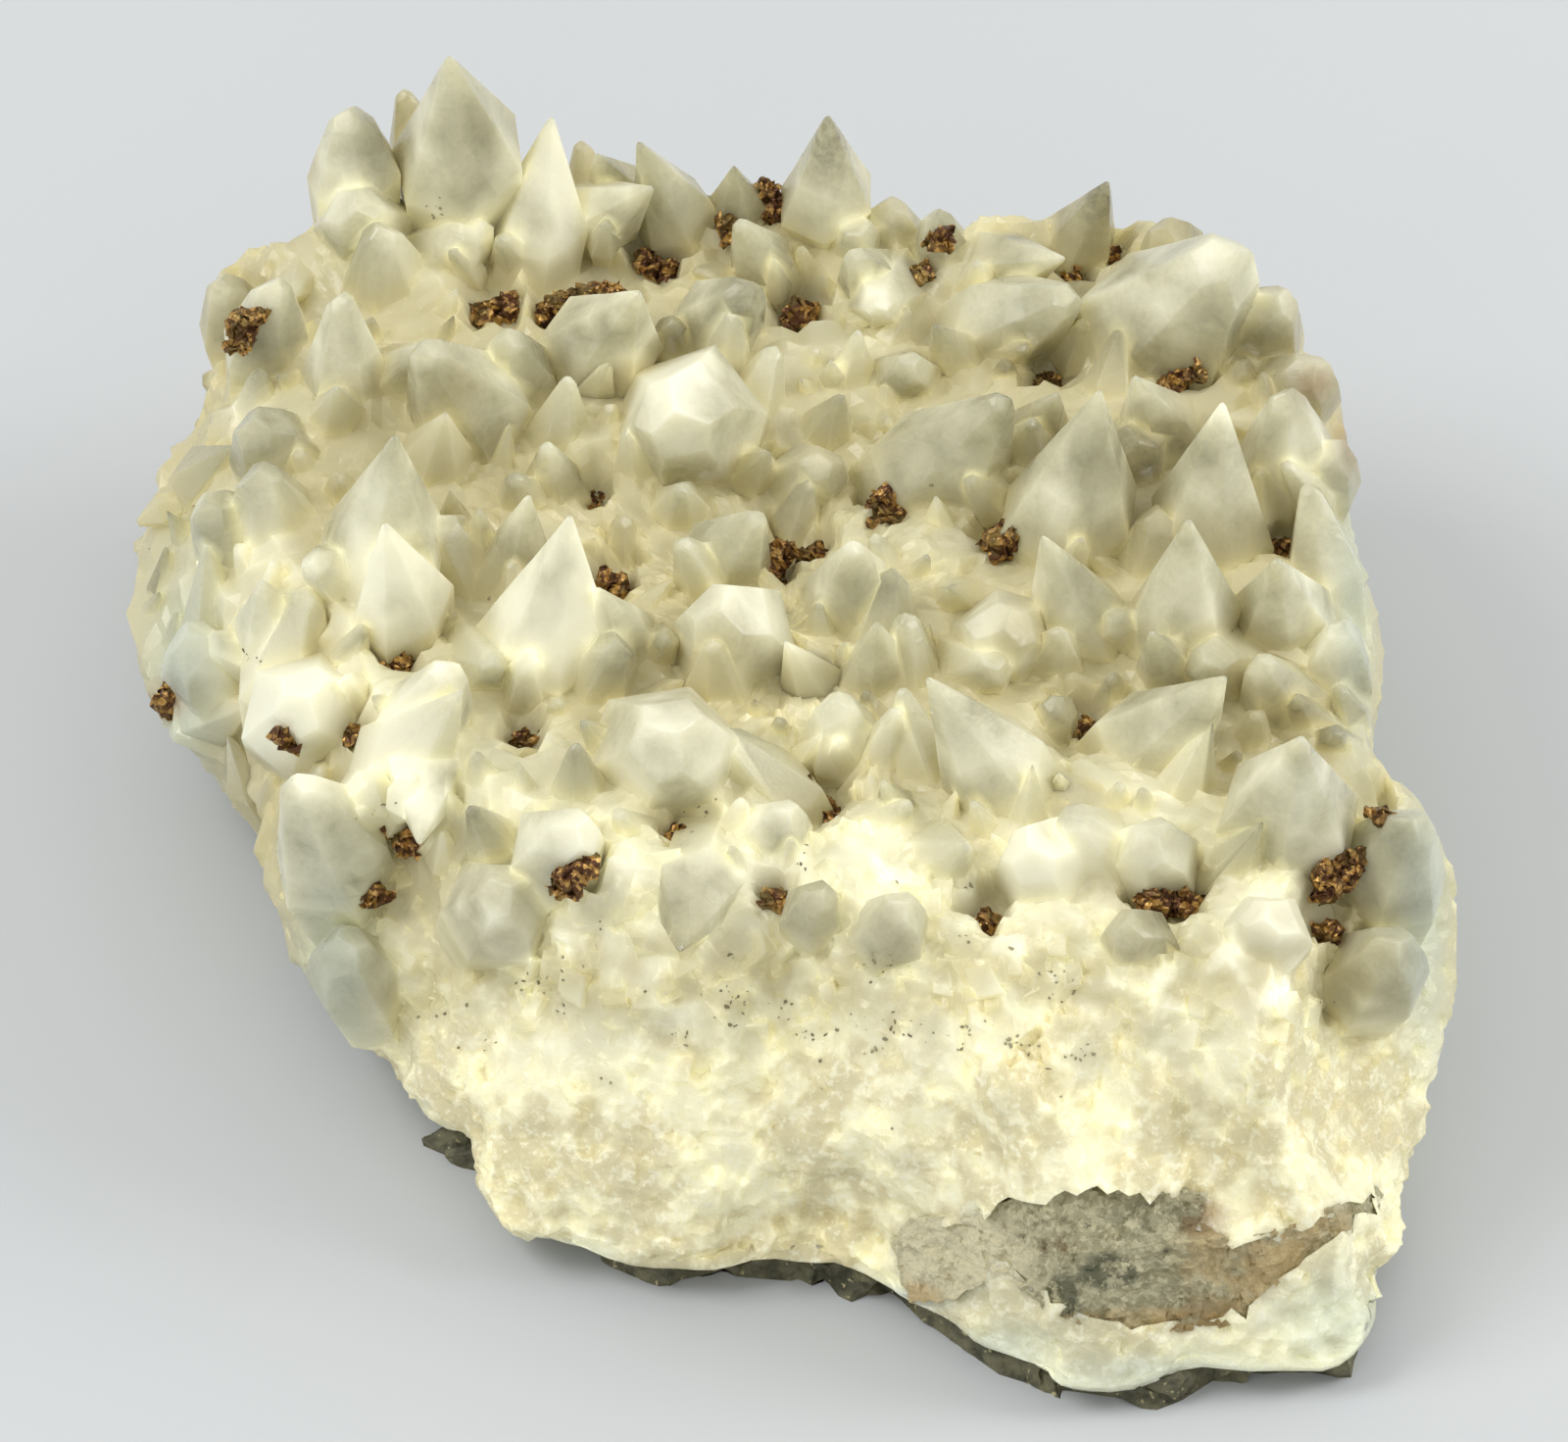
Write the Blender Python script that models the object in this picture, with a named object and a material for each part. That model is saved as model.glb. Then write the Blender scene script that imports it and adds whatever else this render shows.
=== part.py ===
"""Dogtooth calcite crystals on vein calcite, with sulphide grains, on a plate of wall rock.

Lengths in the tables are millimetres. The tables are read as the specimen is seen from the front
and above, along a sight line that slopes SIGHT_ELEVATION: the first number runs to the right, the
second up the sheet that faces the sight line, both from the middle of the sheet.
"""

import math
from collections import namedtuple

import bmesh
import bpy
from mathutils import Matrix, Vector, noise
from mathutils.bvhtree import BVHTree

MM = 0.001
SIGHT_ELEVATION = math.radians(45)

# The plate of wall rock, from the table up, and the gap between neighbouring pieces.
PLATE_THICKNESS = 3.6
GAP = 0.32

# The vein calcite: height of the crystal bed, with a shallow trough and a fall to the left.
BED_HEIGHT = 37.0
BED_RISE_TO_BACK = 0.03
MASS_MIDDLE = Vector((0.0, -28.0))
TROUGH = {"middle": (3.0, 5.0), "half_width": 16.0, "half_length": 24.0, "depth": 4.0}
LEFT_FALL = {"start": -40.0, "reach": 25.0, "drop": 9.0}
MASS_COLUMNS = 52
MASS_TRIANGLES = 480
SIDE_STEPS = ((0.5, 0.0), (0.22, 0.5), (0.0, 1.0))
FACE_STEPS = ((0.25, 0.4), (0.6, 0.75), (1.0, 1.0))
BED_STEPS = (0.78, 0.5, 0.22, 0.0)
LUMPS = ((16.0, 1.8), (7.0, 1.0))
WOBBLE_GAIN = 1.5

# Habit of the dogtooth crystals: tip height over width, the zigzag of the belt over the radius,
# the slope of the three blunt faces at a tip, and how far below the belt the bed lies, as a share
# of the tip's length, with the step and the number of tries where the sight line misses the bed.
TIP_HEIGHT = 1.28
FOOT_HEIGHT = 0.95
BELT_ZIGZAG = 0.22
CAP_SLOPE = math.radians(44.6)
LEAST_LEAN = math.radians(20)
BURIED_SHARE = 0.3
BURIED_STEPS = (0.1, 16)

# Outline of the vein: (across, up, height of the widest edge, inset of the bed's edge).
Rim = namedtuple("Rim", "across up height inset")
RIM = [
    Rim(-51.0, 45.0, 34.0, 3.0), Rim(-38.0, 52.0, 36.5, 3.0), Rim(-24.0, 52.0, 37.0, 3.0),
    Rim(-10.0, 50.0, 37.0, 3.0), Rim(5.0, 49.5, 37.0, 3.0), Rim(20.0, 48.0, 36.0, 3.0),
    Rim(33.0, 48.5, 36.0, 3.0), Rim(43.0, 47.0, 35.5, 3.0), Rim(50.5, 39.5, 34.0, 4.0),
    Rim(56.0, 28.5, 31.0, 5.0), Rim(57.0, 17.5, 29.0, 5.0), Rim(58.5, 5.5, 28.0, 6.0),
    Rim(60.0, -5.5, 27.0, 8.0), Rim(65.5, -13.5, 25.0, 9.0), Rim(67.0, -22.5, 21.0, 10.0),
    Rim(64.0, -34.5, 14.0, 13.0), Rim(62.3, -44.5, 9.0, 17.0), Rim(61.5, -55.5, 6.5, 22.0),
    Rim(57.0, -62.3, 6.0, 26.0), Rim(45.0, -64.0, 5.5, 27.0), Rim(30.0, -66.0, 5.5, 28.0),
    Rim(22.5, -62.5, 5.5, 26.0), Rim(13.0, -58.0, 5.5, 23.0), Rim(3.0, -54.0, 5.5, 21.0),
    Rim(-10.0, -54.5, 5.5, 21.0), Rim(-24.0, -52.0, 6.0, 20.0), Rim(-29.5, -47.5, 7.0, 18.0),
    Rim(-32.0, -42.0, 8.5, 16.0), Rim(-39.0, -35.0, 10.0, 15.0), Rim(-46.0, -27.5, 12.0, 14.0),
    Rim(-51.0, -19.5, 14.0, 12.0), Rim(-55.0, -7.5, 16.0, 12.0), Rim(-62.5, 1.0, 18.0, 13.0),
    Rim(-65.4, 14.0, 20.0, 14.0), Rim(-63.4, 25.5, 23.0, 13.0), Rim(-59.0, 33.5, 28.0, 8.0),
    Rim(-57.0, 43.0, 32.0, 5.0),
]

# Crystals: tip and middle of the belt on the sheet, width across the belt, twist round the axis
# in degrees (0 turns a face to the sight line, 30 an edge) and how much of the tip three blunt
# faces take off.
Crystal = namedtuple("Crystal", "tip belt width twist cap")
BACK_ROW = [
    Crystal((-33.9, 67.5), (-33.0, 57.0), 14.0, 4, 0.0), Crystal((-38.8, 64.2), (-37.0, 58.5), 6.5, 0, 0.2),
    Crystal((-44.1, 62.2), (-43.8, 55.5), 10.0, 10, 0.35),
    Crystal((-43.4, 51.8), (-42.8, 50.4), 11.0, 15, 0.4),
    Crystal((-30.2, 50.6), (-34.6, 47.2), 9.0, 0, 0.35),
    Crystal((-23.5, 61.9), (-25.3, 50.0), 10.5, 20, 0.0),
    Crystal((-20.7, 59.1), (-20.2, 55.0), 4.5, 10, 0.3), Crystal((-13.0, 54.2), (-18.8, 51.5), 9.0, 0, 0.0),
    Crystal((-15.0, 59.1), (-11.4, 51.5), 9.0, 5, 0.0), Crystal((-19.2, 57.8), (-17.2, 53.5), 7.0, 0, 0.0),
    Crystal((-5.1, 56.6), (-4.3, 51.5), 7.5, 12, 0.0), Crystal((-4.7, 50.6), (-2.2, 46.0), 8.0, -8, 0.15),
    Crystal((4.4, 61.7), (4.3, 53.0), 10.4, 0, 0.0), Crystal((10.4, 52.9), (11.3, 49.0), 7.5, 0, 0.4),
    Crystal((15.4, 51.5), (15.8, 47.8), 7.0, 10, 0.35), Crystal((33.0, 55.0), (30.0, 49.0), 8.0, 8, 0.0),
    Crystal((28.8, 46.9), (22.5, 46.4), 8.0, 0, 0.0), Crystal((38.6, 50.3), (39.2, 46.8), 8.5, 0, 0.4),
    Crystal((45.6, 47.4), (38.8, 40.3), 18.5, 0, 0.3), Crystal((50.0, 43.0), (48.0, 38.5), 11.0, 10, 0.35),
    Crystal((-57.2, 45.0), (-56.0, 40.5), 8.0, 0, 0.35),
    Crystal((-51.4, 44.5), (-51.8, 37.5), 11.0, 12, 0.3),
]
LEFT_BED = [
    Crystal((-44.5, 43.2), (-43.6, 34.0), 11.0, 14, 0.2),
    Crystal((-28.0, 38.8), (-27.5, 34.2), 10.0, 10, 0.25),
    Crystal((-36.5, 37.4), (-32.0, 30.8), 14.5, -6, 0.2),
    Crystal((-38.8, 28.9), (-40.4, 17.3), 14.5, -5, 0.0),
    Crystal((-39.9, 20.1), (-38.8, 11.2), 11.3, -18, 0.0),
    Crystal((-33.6, 23.3), (-33.2, 19.0), 5.0, 0, 0.0),
    Crystal((-30.5, 21.6), (-30.4, 16.0), 6.5, 10, 0.0), Crystal((-25.5, 23.0), (-27.5, 15.0), 9.0, 5, 0.0),
    Crystal((-21.2, 20.9), (-23.8, 8.5), 14.0, 22, 0.0),
    Crystal((-23.9, 27.9), (-22.8, 23.5), 7.5, 0, 0.15),
    Crystal((-18.8, 13.6), (-16.2, 7.5), 9.5, 0, 0.0), Crystal((-25.6, 6.4), (-25.2, 3.6), 7.5, 15, 0.25),
    Crystal((-52.4, 14.3), (-51.6, 9.6), 8.0, 10, 0.0), Crystal((-47.4, 2.4), (-47.8, 0.6), 14.5, 0, 0.42),
    Crystal((-41.6, -6.3), (-41.2, -7.2), 7.5, 12, 0.42), Crystal((-33.2, 5.6), (-35.8, 0.6), 10.0, 0, 0.3),
    Crystal((-36.3, -12.6), (-35.4, -5.6), 9.0, 6, 0.0),
    Crystal((-49.0, -6.0), (-45.2, -12.8), 13.5, -10, 0.2),
    Crystal((-44.5, -21.5), (-42.5, -25.5), 11.0, 4, 0.4),
    Crystal((-58.5, 22.0), (-56.0, 18.5), 9.0, 8, 0.4),
    Crystal((-53.5, 30.5), (-51.5, 26.5), 10.0, 0, 0.4), Crystal((-60.0, 9.0), (-58.0, 5.5), 9.5, 16, 0.4),
]
MIDDLE_BED = [
    Crystal((-14.4, 43.4), (-18.6, 38.0), 12.5, 2, 0.0),
    Crystal((-11.0, 31.2), (-9.8, 29.2), 17.5, 10, 0.4),
    Crystal((6.8, 47.2), (9.0, 43.8), 9.0, 0, 0.2), Crystal((9.4, 41.8), (10.6, 43.0), 10.5, 25, 0.2),
    Crystal((-3.0, 43.6), (-7.0, 39.5), 11.0, 8, 0.3), Crystal((4.7, 36.6), (5.0, 33.4), 5.0, 15, 0.0),
    Crystal((29.5, 42.8), (22.3, 39.2), 13.0, -10, 0.2), Crystal((13.0, 36.0), (12.0, 34.0), 9.0, 14, 0.3),
    Crystal((22.3, 32.4), (15.3, 25.8), 14.0, 4, 0.15), Crystal((5.0, 26.0), (2.2, 23.4), 9.5, 0, 0.35),
    Crystal((-2.4, 20.6), (-6.0, 15.2), 11.0, 10, 0.15), Crystal((6.8, 17.5), (6.2, 12.4), 10.5, 18, 0.15),
    Crystal((9.3, 10.1), (8.9, 4.8), 8.0, 0, 0.0), Crystal((14.6, 9.9), (13.9, 6.3), 4.0, 0, 0.0),
    Crystal((-6.4, 11.2), (-5.4, 7.6), 14.5, 0, 0.42), Crystal((-10.6, -1.2), (-12.0, -3.8), 17.0, 8, 0.42),
    Crystal((5.2, 2.2), (6.2, -2.4), 9.5, 12, 0.3), Crystal((11.2, 1.2), (10.6, -3.6), 7.5, 0, 0.15),
    Crystal((9.7, -5.8), (11.4, -9.6), 5.8, 10, 0.0), Crystal((13.9, 4.7), (20.8, -5.2), 12.5, 12, 0.0),
    Crystal((-10.4, -23.0), (-8.6, -17.0), 10.0, 0, 0.0), Crystal((3.6, -17.0), (3.2, -19.2), 7.5, 0, 0.4),
    Crystal((-20.5, -10.5), (-22.0, -13.5), 11.0, 12, 0.4),
    Crystal((-27.0, -16.5), (-28.5, -19.0), 12.0, 0, 0.42),
    Crystal((0.5, -9.0), (-1.5, -11.5), 9.0, 20, 0.35), Crystal((12.0, -18.0), (10.5, -21.0), 9.0, 6, 0.4),
]
RIGHT_BED = [
    Crystal((53.6, 35.8), (51.3, 32.6), 10.0, 0, 0.4), Crystal((31.7, 33.5), (28.6, 21.0), 14.5, 4, 0.0),
    Crystal((27.7, 33.2), (25.0, 28.6), 8.0, 0, 0.0), Crystal((35.0, 34.9), (37.6, 28.6), 10.0, -6, 0.0),
    Crystal((44.0, 32.4), (43.1, 20.0), 12.6, 14, 0.0), Crystal((50.5, 33.0), (50.3, 25.5), 12.0, 6, 0.25),
    Crystal((55.4, 28.2), (53.6, 23.5), 9.0, 0, 0.4), Crystal((49.2, 16.4), (50.2, 10.2), 11.0, 0, 0.0),
    Crystal((40.4, 20.5), (39.6, 9.6), 12.5, -14, 0.0), Crystal((36.5, 9.0), (38.4, 4.6), 8.0, 0, 0.0),
    Crystal((25.6, 18.9), (29.8, 10.2), 11.0, 8, 0.0), Crystal((22.0, 9.2), (22.8, 7.6), 13.0, -12, 0.4),
    Crystal((52.6, 24.0), (54.0, 15.0), 8.5, 0, 0.2), Crystal((56.0, 10.0), (54.6, 4.0), 9.0, 12, 0.3),
    Crystal((28.0, 2.4), (26.4, -0.4), 6.0, 0, 0.42), Crystal((44.2, 4.7), (37.2, -1.8), 12.5, 0, 0.0),
    Crystal((47.4, 6.0), (50.0, 1.8), 9.5, 10, 0.25), Crystal((51.2, -1.4), (50.6, -9.2), 15.0, -6, 0.0),
    Crystal((24.2, -12.4), (25.8, -15.2), 12.0, 8, 0.42),
    Crystal((62.6, -9.8), (60.8, -15.4), 13.0, 0, 0.35),
    Crystal((47.5, -19.5), (47.5, -21.5), 10.0, 20, 0.42),
    Crystal((37.0, -11.5), (36.5, -14.0), 10.5, 0, 0.42),
    Crystal((61.0, -22.0), (58.5, -25.5), 12.0, 10, 0.42),
    Crystal((34.0, -20.0), (35.0, -22.5), 9.0, 0, 0.42),
]

# Sulphide grains: one or more lumps on the sheet, each (across, up, radius).
GRAINS = [
    [(-5.7, 50.4, 1.4), (-6.2, 48.4, 1.3)], [(-2.1, 53.6, 1.3), (-0.9, 51.4, 1.6)], [(15.9, 48.9, 1.2)],
    [(14.2, 45.2, 1.2)], [(33.2, 47.2, 1.2)], [(29.2, 44.8, 1.3)], [(39.4, 33.8, 1.1), (41.6, 35.6, 1.1)],
    [(26.9, 34.2, 1.3)], [(-14.3, 46.8, 1.1), (-11.6, 45.6, 1.0)], [(-29.5, 41.6, 1.9)],
    [(-24.0, 40.8, 1.3), (-21.4, 42.2, 1.8), (-17.6, 43.2, 1.4)], [(-53.8, 40.5, 1.4), (-54.9, 38.2, 1.2)],
    [(1.2, 40.6, 1.8), (1.8, 37.8, 2.0)], [(10.2, 23.6, 1.3), (10.5, 21.0, 2.0), (10.4, 18.4, 1.1)],
    [(-0.9, 14.9, 1.3), (0.2, 17.2, 1.0)], [(2.8, 16.3, 1.4)], [(-19.2, 22.0, 1.2)],
    [(-18.0, 14.0, 1.1), (-16.6, 12.4, 1.1)], [(22.2, 17.9, 2.1), (20.9, 15.4, 1.3)], [(50.2, 17.4, 1.4)],
    [(31.3, 0.7, 1.4), (28.6, -2.6, 1.5)], [(-38.4, 5.8, 1.2)], [(-49.6, -2.1, 1.1)], [(-43.2, -1.2, 1.3)],
    [(-26.2, -2.1, 1.3)], [(-38.8, -10.2, 1.2), (-37.9, -12.6, 1.2)], [(-41.7, -17.5, 1.4)],
    [(-10.4, -11.6, 1.2)],
    [(2.3, -7.8, 1.6), (4.6, -9.8, 1.3), (7.0, -13.4, 1.9)], [(-20.1, -14.4, 1.2), (-22.2, -16.4, 1.2)],
    [(-1.0, -17.8, 1.1)], [(20.1, -20.2, 1.1)], [(36.6, -18.2, 1.4), (39.4, -17.6, 1.8)],
    [(51.0, -15.4, 2.4), (54.2, -16.2, 2.1), (56.4, -13.8, 1.4)], [(53.8, -21.0, 1.4)], [(59.2, -9.6, 1.2)],
    [(-62.4, 2.0, 1.3)],
]
GRAIN_SINK = 0.25
EDGE_STEP = 0.98
LUMP_SPACING = 0.85
GRAIN_ROUGHNESS = 0.44
GRAIN_ROUGHNESS_SCALE = 3.1
POCKET_GROWTH = 0.6

# The lens of grey-green rock in the front face: its outline on the sheet, and its depth.
LENS_DEPTH = 4.5
LENS_OUTLINE = [
    (10.8, -52.0), (12.6, -49.6), (19.0, -48.6), (24.5, -46.4), (31.0, -45.6), (37.5, -46.2),
    (42.0, -46.8), (41.2, -49.6), (44.5, -51.6), (50.0, -50.2), (56.0, -47.4), (59.6, -46.2),
    (59.2, -49.2), (54.0, -52.4), (49.6, -56.0), (46.0, -59.6), (39.0, -60.6), (31.0, -60.2),
    (26.0, -58.4), (22.0, -54.6), (17.0, -57.4), (12.6, -57.8),
]

# The plate: how far it lies inside the vein's lower edge, and where it sticks out in front:
# (middle of the stretch, half its length, how far it sticks out).
PLATE_INSET = 4.6
PLATE_TONGUES = [
    ((-34.5, -62.0), 5.0, 2.4), ((-14.0, -80.0), 4.0, 0.8), ((-2.0, -79.5), 4.0, 1.6),
    ((8.5, -81.0), 5.0, 1.2), ((22.0, -90.0), 5.0, 1.4), ((36.0, -96.0), 8.0, 0.9),
    ((54.0, -92.0), 5.5, 0.9),
]
PLATE_COLUMNS = 72
PLATE_RAGGED = {"size": 4.0, "reach": 1.8}
PLATE_BEVEL = 0.7

# Finish of the pieces: colour, roughness, metallic.
FINISHES = {
    "calcite": ((0.62, 0.60, 0.45), 0.35, 0.0),
    "wall_rock": ((0.045, 0.042, 0.036), 0.85, 0.0),
    "rock_inclusion": ((0.30, 0.28, 0.20), 0.85, 0.0),
    "chalcopyrite": ((0.22, 0.13, 0.055), 0.45, 0.75),
}

ACROSS = Vector((1.0, 0.0, 0.0))
UP_SHEET = Vector((0.0, math.sin(SIGHT_ELEVATION), math.cos(SIGHT_ELEVATION)))
TOWARD = Vector((0.0, -math.cos(SIGHT_ELEVATION), math.sin(SIGHT_ELEVATION)))
FAR = 300.0


def sheet_point(across, up, toward=0.0):
    return ACROSS * across + UP_SHEET * up + TOWARD * toward


def clear_scene():
    for old in list(bpy.data.objects):
        bpy.data.objects.remove(old, do_unlink=True)


def finish_of(kind):
    material = bpy.data.materials.get(kind)
    if material is None:
        colour, roughness, metallic = FINISHES[kind]
        material = bpy.data.materials.new(kind)
        material.use_nodes = True
        shader = material.node_tree.nodes["Principled BSDF"]
        shader.inputs["Base Color"].default_value = (*colour, 1.0)
        shader.inputs["Roughness"].default_value = roughness
        shader.inputs["Metallic"].default_value = metallic
        material.diffuse_color = (*colour, 1.0)
    return material


def object_from(name, shape, kind, helper=False):
    """A mesh object made from a bmesh. A helper is a cutter or a body that is joined to another."""
    mesh = bpy.data.meshes.new(name)
    bmesh.ops.recalc_face_normals(shape, faces=shape.faces)
    shape.to_mesh(mesh)
    shape.free()
    mesh.materials.append(finish_of(kind))
    made = bpy.data.objects.new(name, mesh)
    bpy.context.scene.collection.objects.link(made)
    made.hide_render = helper
    made.display_type = "WIRE" if helper else "TEXTURED"
    return made


def settle(body):
    """Replaces a body's mesh by what its modifiers make of it."""
    graph = bpy.context.evaluated_depsgraph_get()
    body.data = bpy.data.meshes.new_from_object(body.evaluated_get(graph))
    body.modifiers.clear()
    return body


def combine(body, others, operation):
    """Joins the other bodies to this one, or cuts them out of it, and removes them."""
    if not others:
        return body
    group = bpy.data.collections.new("operands")
    bpy.context.scene.collection.children.link(group)
    for other in others:
        group.objects.link(other)
    boolean = body.modifiers.new(operation.lower(), "BOOLEAN")
    boolean.operation = operation
    boolean.solver = "EXACT"
    boolean.operand_type = "COLLECTION"
    boolean.collection = group
    settle(body)
    for other in others:
        bpy.data.objects.remove(other, do_unlink=True)
    bpy.data.collections.remove(group)
    return body


def islands(shape):
    """The separate bodies of a bmesh, as lists of faces."""
    left = set(shape.faces)
    found = []
    while left:
        front = [left.pop()]
        body = []
        while front:
            face = front.pop()
            body.append(face)
            for edge in face.edges:
                for neighbour in edge.link_faces:
                    if neighbour in left:
                        left.remove(neighbour)
                        front.append(neighbour)
        found.append(body)
    return found


def tidy(body, weld=0.004):
    """Welds the short edges that cuts leave and drops loose chips."""
    shape = bmesh.new()
    shape.from_mesh(body.data)
    bmesh.ops.remove_doubles(shape, verts=shape.verts, dist=weld)
    bmesh.ops.dissolve_degenerate(shape, edges=shape.edges, dist=weld)
    bmesh.ops.triangulate(shape, faces=shape.faces)
    bodies = sorted(islands(shape), key=lambda faces: sum(face.calc_area() for face in faces))
    chips = [face for faces in bodies[:-1] for face in faces]
    if chips:
        bmesh.ops.delete(shape, geom=chips, context="FACES")
    bmesh.ops.recalc_face_normals(shape, faces=shape.faces)
    shape.to_mesh(body.data)
    shape.free()
    return body


def smooth_loop(points, share):
    """The point at this share of the way round a closed smooth curve through the points."""
    place = share * len(points)
    index = int(place)
    t = place - index
    p0, p1, p2, p3 = (Vector(points[(index + step) % len(points)]) for step in (-1, 0, 1, 2))
    square = 2 * p0 - 5 * p1 + 4 * p2 - p3
    cube = 3 * p1 - p0 - 3 * p2 + p3
    return p1 + (p2 - p0) * t / 2 + square * t**2 / 2 + cube * t**3 / 2


def wobble(place):
    """A smooth offset that varies with the place, within about one unit each way."""
    shifts = (Vector((3.1, 7.7, 1.3)), Vector((-8.2, 2.4, 5.6)), Vector((6.5, -4.9, 9.2)))
    return Vector([noise.noise(place + shift) for shift in shifts]) * WOBBLE_GAIN


def bed_height(x, y):
    fall = max(0.0, (LEFT_FALL["start"] - x) / LEFT_FALL["reach"])
    along = (y - TROUGH["middle"][1]) / TROUGH["half_length"]
    aside = (x - TROUGH["middle"][0]) / TROUGH["half_width"]
    trough = TROUGH["depth"] * math.exp(-(along**2) - aside**2)
    return BED_HEIGHT + BED_RISE_TO_BACK * (y - MASS_MIDDLE.y) - LEFT_FALL["drop"] * fall**2 - trough


def rim_in_plan():
    """The outline in plan: x, y, height of the edge and inset of the bed, per outline row."""
    rows = []
    for rim in RIM:
        depth = (rim.height - rim.up * UP_SHEET.z) / TOWARD.z
        place = sheet_point(rim.across, rim.up, depth)
        rows.append((place.x, place.y, rim.height, rim.inset))
    return rows


def mass_point(rim, ring):
    """One point of the vein's skin: rings run from the underside up the side and over the bed."""
    edge = Vector((rim[0], rim[1]))
    inward = (MASS_MIDDLE - edge).normalized()
    height, inset = rim[2], rim[3]
    underside = PLATE_THICKNESS + GAP
    if ring < 1:
        return Vector((*MASS_MIDDLE, underside))
    ring -= 1
    if ring < len(SIDE_STEPS):
        under, share = SIDE_STEPS[ring]
        place = edge + inward * under * (height - underside)
        return Vector((*place, underside + (height - underside) * share))
    ring -= len(SIDE_STEPS)
    if ring < len(FACE_STEPS):
        step, share = FACE_STEPS[ring]
        place = edge + inward * inset * step
        return Vector((*place, height + (bed_height(*place) - height) * share))
    ring -= len(FACE_STEPS)
    shoulder = edge + inward * inset
    place = MASS_MIDDLE + (shoulder - MASS_MIDDLE) * BED_STEPS[ring]
    return Vector((*place, bed_height(*place)))


def vein_mass():
    rim_rows = rim_in_plan()
    rings = 1 + len(SIDE_STEPS) + len(FACE_STEPS) + len(BED_STEPS)
    shape = bmesh.new()
    bmesh.ops.create_grid(shape, x_segments=MASS_COLUMNS, y_segments=rings - 1, size=0.5)
    for vert in shape.verts:
        column = (vert.co.x + 0.5) % 1.0
        ring = round((vert.co.y + 0.5) * (rings - 1))
        place = mass_point(smooth_loop(rim_rows, column), ring)
        if ring > 1:
            for size, lift in LUMPS:
                place += wobble(place / size) * lift
        vert.co = place
    bmesh.ops.remove_doubles(shape, verts=shape.verts, dist=0.001)
    bmesh.ops.triangulate(shape, faces=shape.faces)
    mass = object_from("calcite", shape, "calcite")
    thinning = mass.modifiers.new("thin", "DECIMATE")
    thinning.ratio = MASS_TRIANGLES / len(mass.data.polygons)
    return mass


def dogtooth(length, width, cap):
    """A scalenohedron with its belt at the origin and its tip up, blunted by three faces."""
    shape = bmesh.new()
    full = length / (1.0 - cap)
    foot = full * FOOT_HEIGHT
    radius = width / 2
    flip = Matrix.Rotation(math.pi, 4, "X")
    for height, turn in ((full, Matrix.Identity(4)), (foot, flip)):
        place = turn @ Matrix.Translation((0.0, 0.0, height / 2))
        bmesh.ops.create_cone(
            shape, cap_ends=False, segments=6, radius1=radius, radius2=0.0, depth=height, matrix=place
        )
    bmesh.ops.remove_doubles(shape, verts=shape.verts, dist=0.001)
    for vert in shape.verts:
        if math.hypot(vert.co.x, vert.co.y) > radius / 2:
            sixth = round(math.atan2(vert.co.y, vert.co.x) / (math.pi / 3))
            vert.co.z += BELT_ZIGZAG * radius * (1 if sixth % 2 else -1)
    if cap > 0:
        for third in range(3):
            around = Matrix.Rotation(third * 2 * math.pi / 3, 3, "Z")
            facing = around @ Vector((math.sin(CAP_SLOPE), 0.0, math.cos(CAP_SLOPE)))
            everything = list(shape.verts) + list(shape.edges) + list(shape.faces)
            bmesh.ops.bisect_plane(
                shape, geom=everything, plane_co=(0, 0, length), plane_no=facing, clear_outer=True
            )
            bmesh.ops.holes_fill(shape, edges=shape.edges)
    return shape


def upright(axis):
    """Turns a crystal's own Z along the axis, with its own -Y as near the sight line as it goes."""
    side = axis.cross(TOWARD)
    side = side.normalized() if side.length > 0.05 * axis.length else ACROSS
    tall = axis.normalized()
    return Matrix((side, tall.cross(side), tall)).transposed().to_4x4()


def sight_depth(tree, across, up):
    hit = tree.ray_cast(sheet_point(across, up, FAR), -TOWARD)[0]
    return None if hit is None else hit.dot(TOWARD)


def grown_crystal(row, tree):
    """A crystal of the table, seated where its axis meets the bed."""
    along = Vector(row.tip) - Vector(row.belt)
    length = max(TIP_HEIGHT * row.width * (1 - row.cap), along.length / math.cos(LEAST_LEAN))
    rise = math.sqrt(length**2 - along.length**2)
    step, tries = BURIED_STEPS
    for attempt in range(tries):
        share = BURIED_SHARE + step * attempt
        foot = Vector(row.belt) - along * share
        depth = sight_depth(tree, *foot)
        if depth is not None:
            break
    belt = sheet_point(*row.belt, depth + rise * share)
    axis = sheet_point(*along, rise)
    shape = dogtooth(length, row.width, row.cap)
    place = Matrix.Translation(belt) @ upright(axis) @ Matrix.Rotation(math.radians(row.twist), 4, "Z")
    bmesh.ops.transform(shape, matrix=place, verts=shape.verts)
    return object_from("crystal", shape, "calcite", helper=True)


def skin_of(body):
    shape = bmesh.new()
    shape.from_mesh(body.data)
    tree = BVHTree.FromBMesh(shape)
    shape.free()
    return tree


def lump(middle, radius, grow, helper):
    """An angular grain with ten faces."""
    shape = bmesh.new()
    bmesh.ops.create_uvsphere(shape, u_segments=5, v_segments=2, radius=1.0)
    for vert in shape.verts:
        rough = 1 + GRAIN_ROUGHNESS * noise.noise(middle + vert.co * GRAIN_ROUGHNESS_SCALE)
        vert.co = middle + vert.co * (radius * rough + grow)
    return object_from("lump", shape, "chalcopyrite", helper)


def grain_body(name, places, grow, helper):
    first, *rest = places
    body = lump(*first, grow, helper)
    body.name = name
    combine(body, [lump(*place, grow, True) for place in rest], "UNION")
    return tidy(body)


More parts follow.
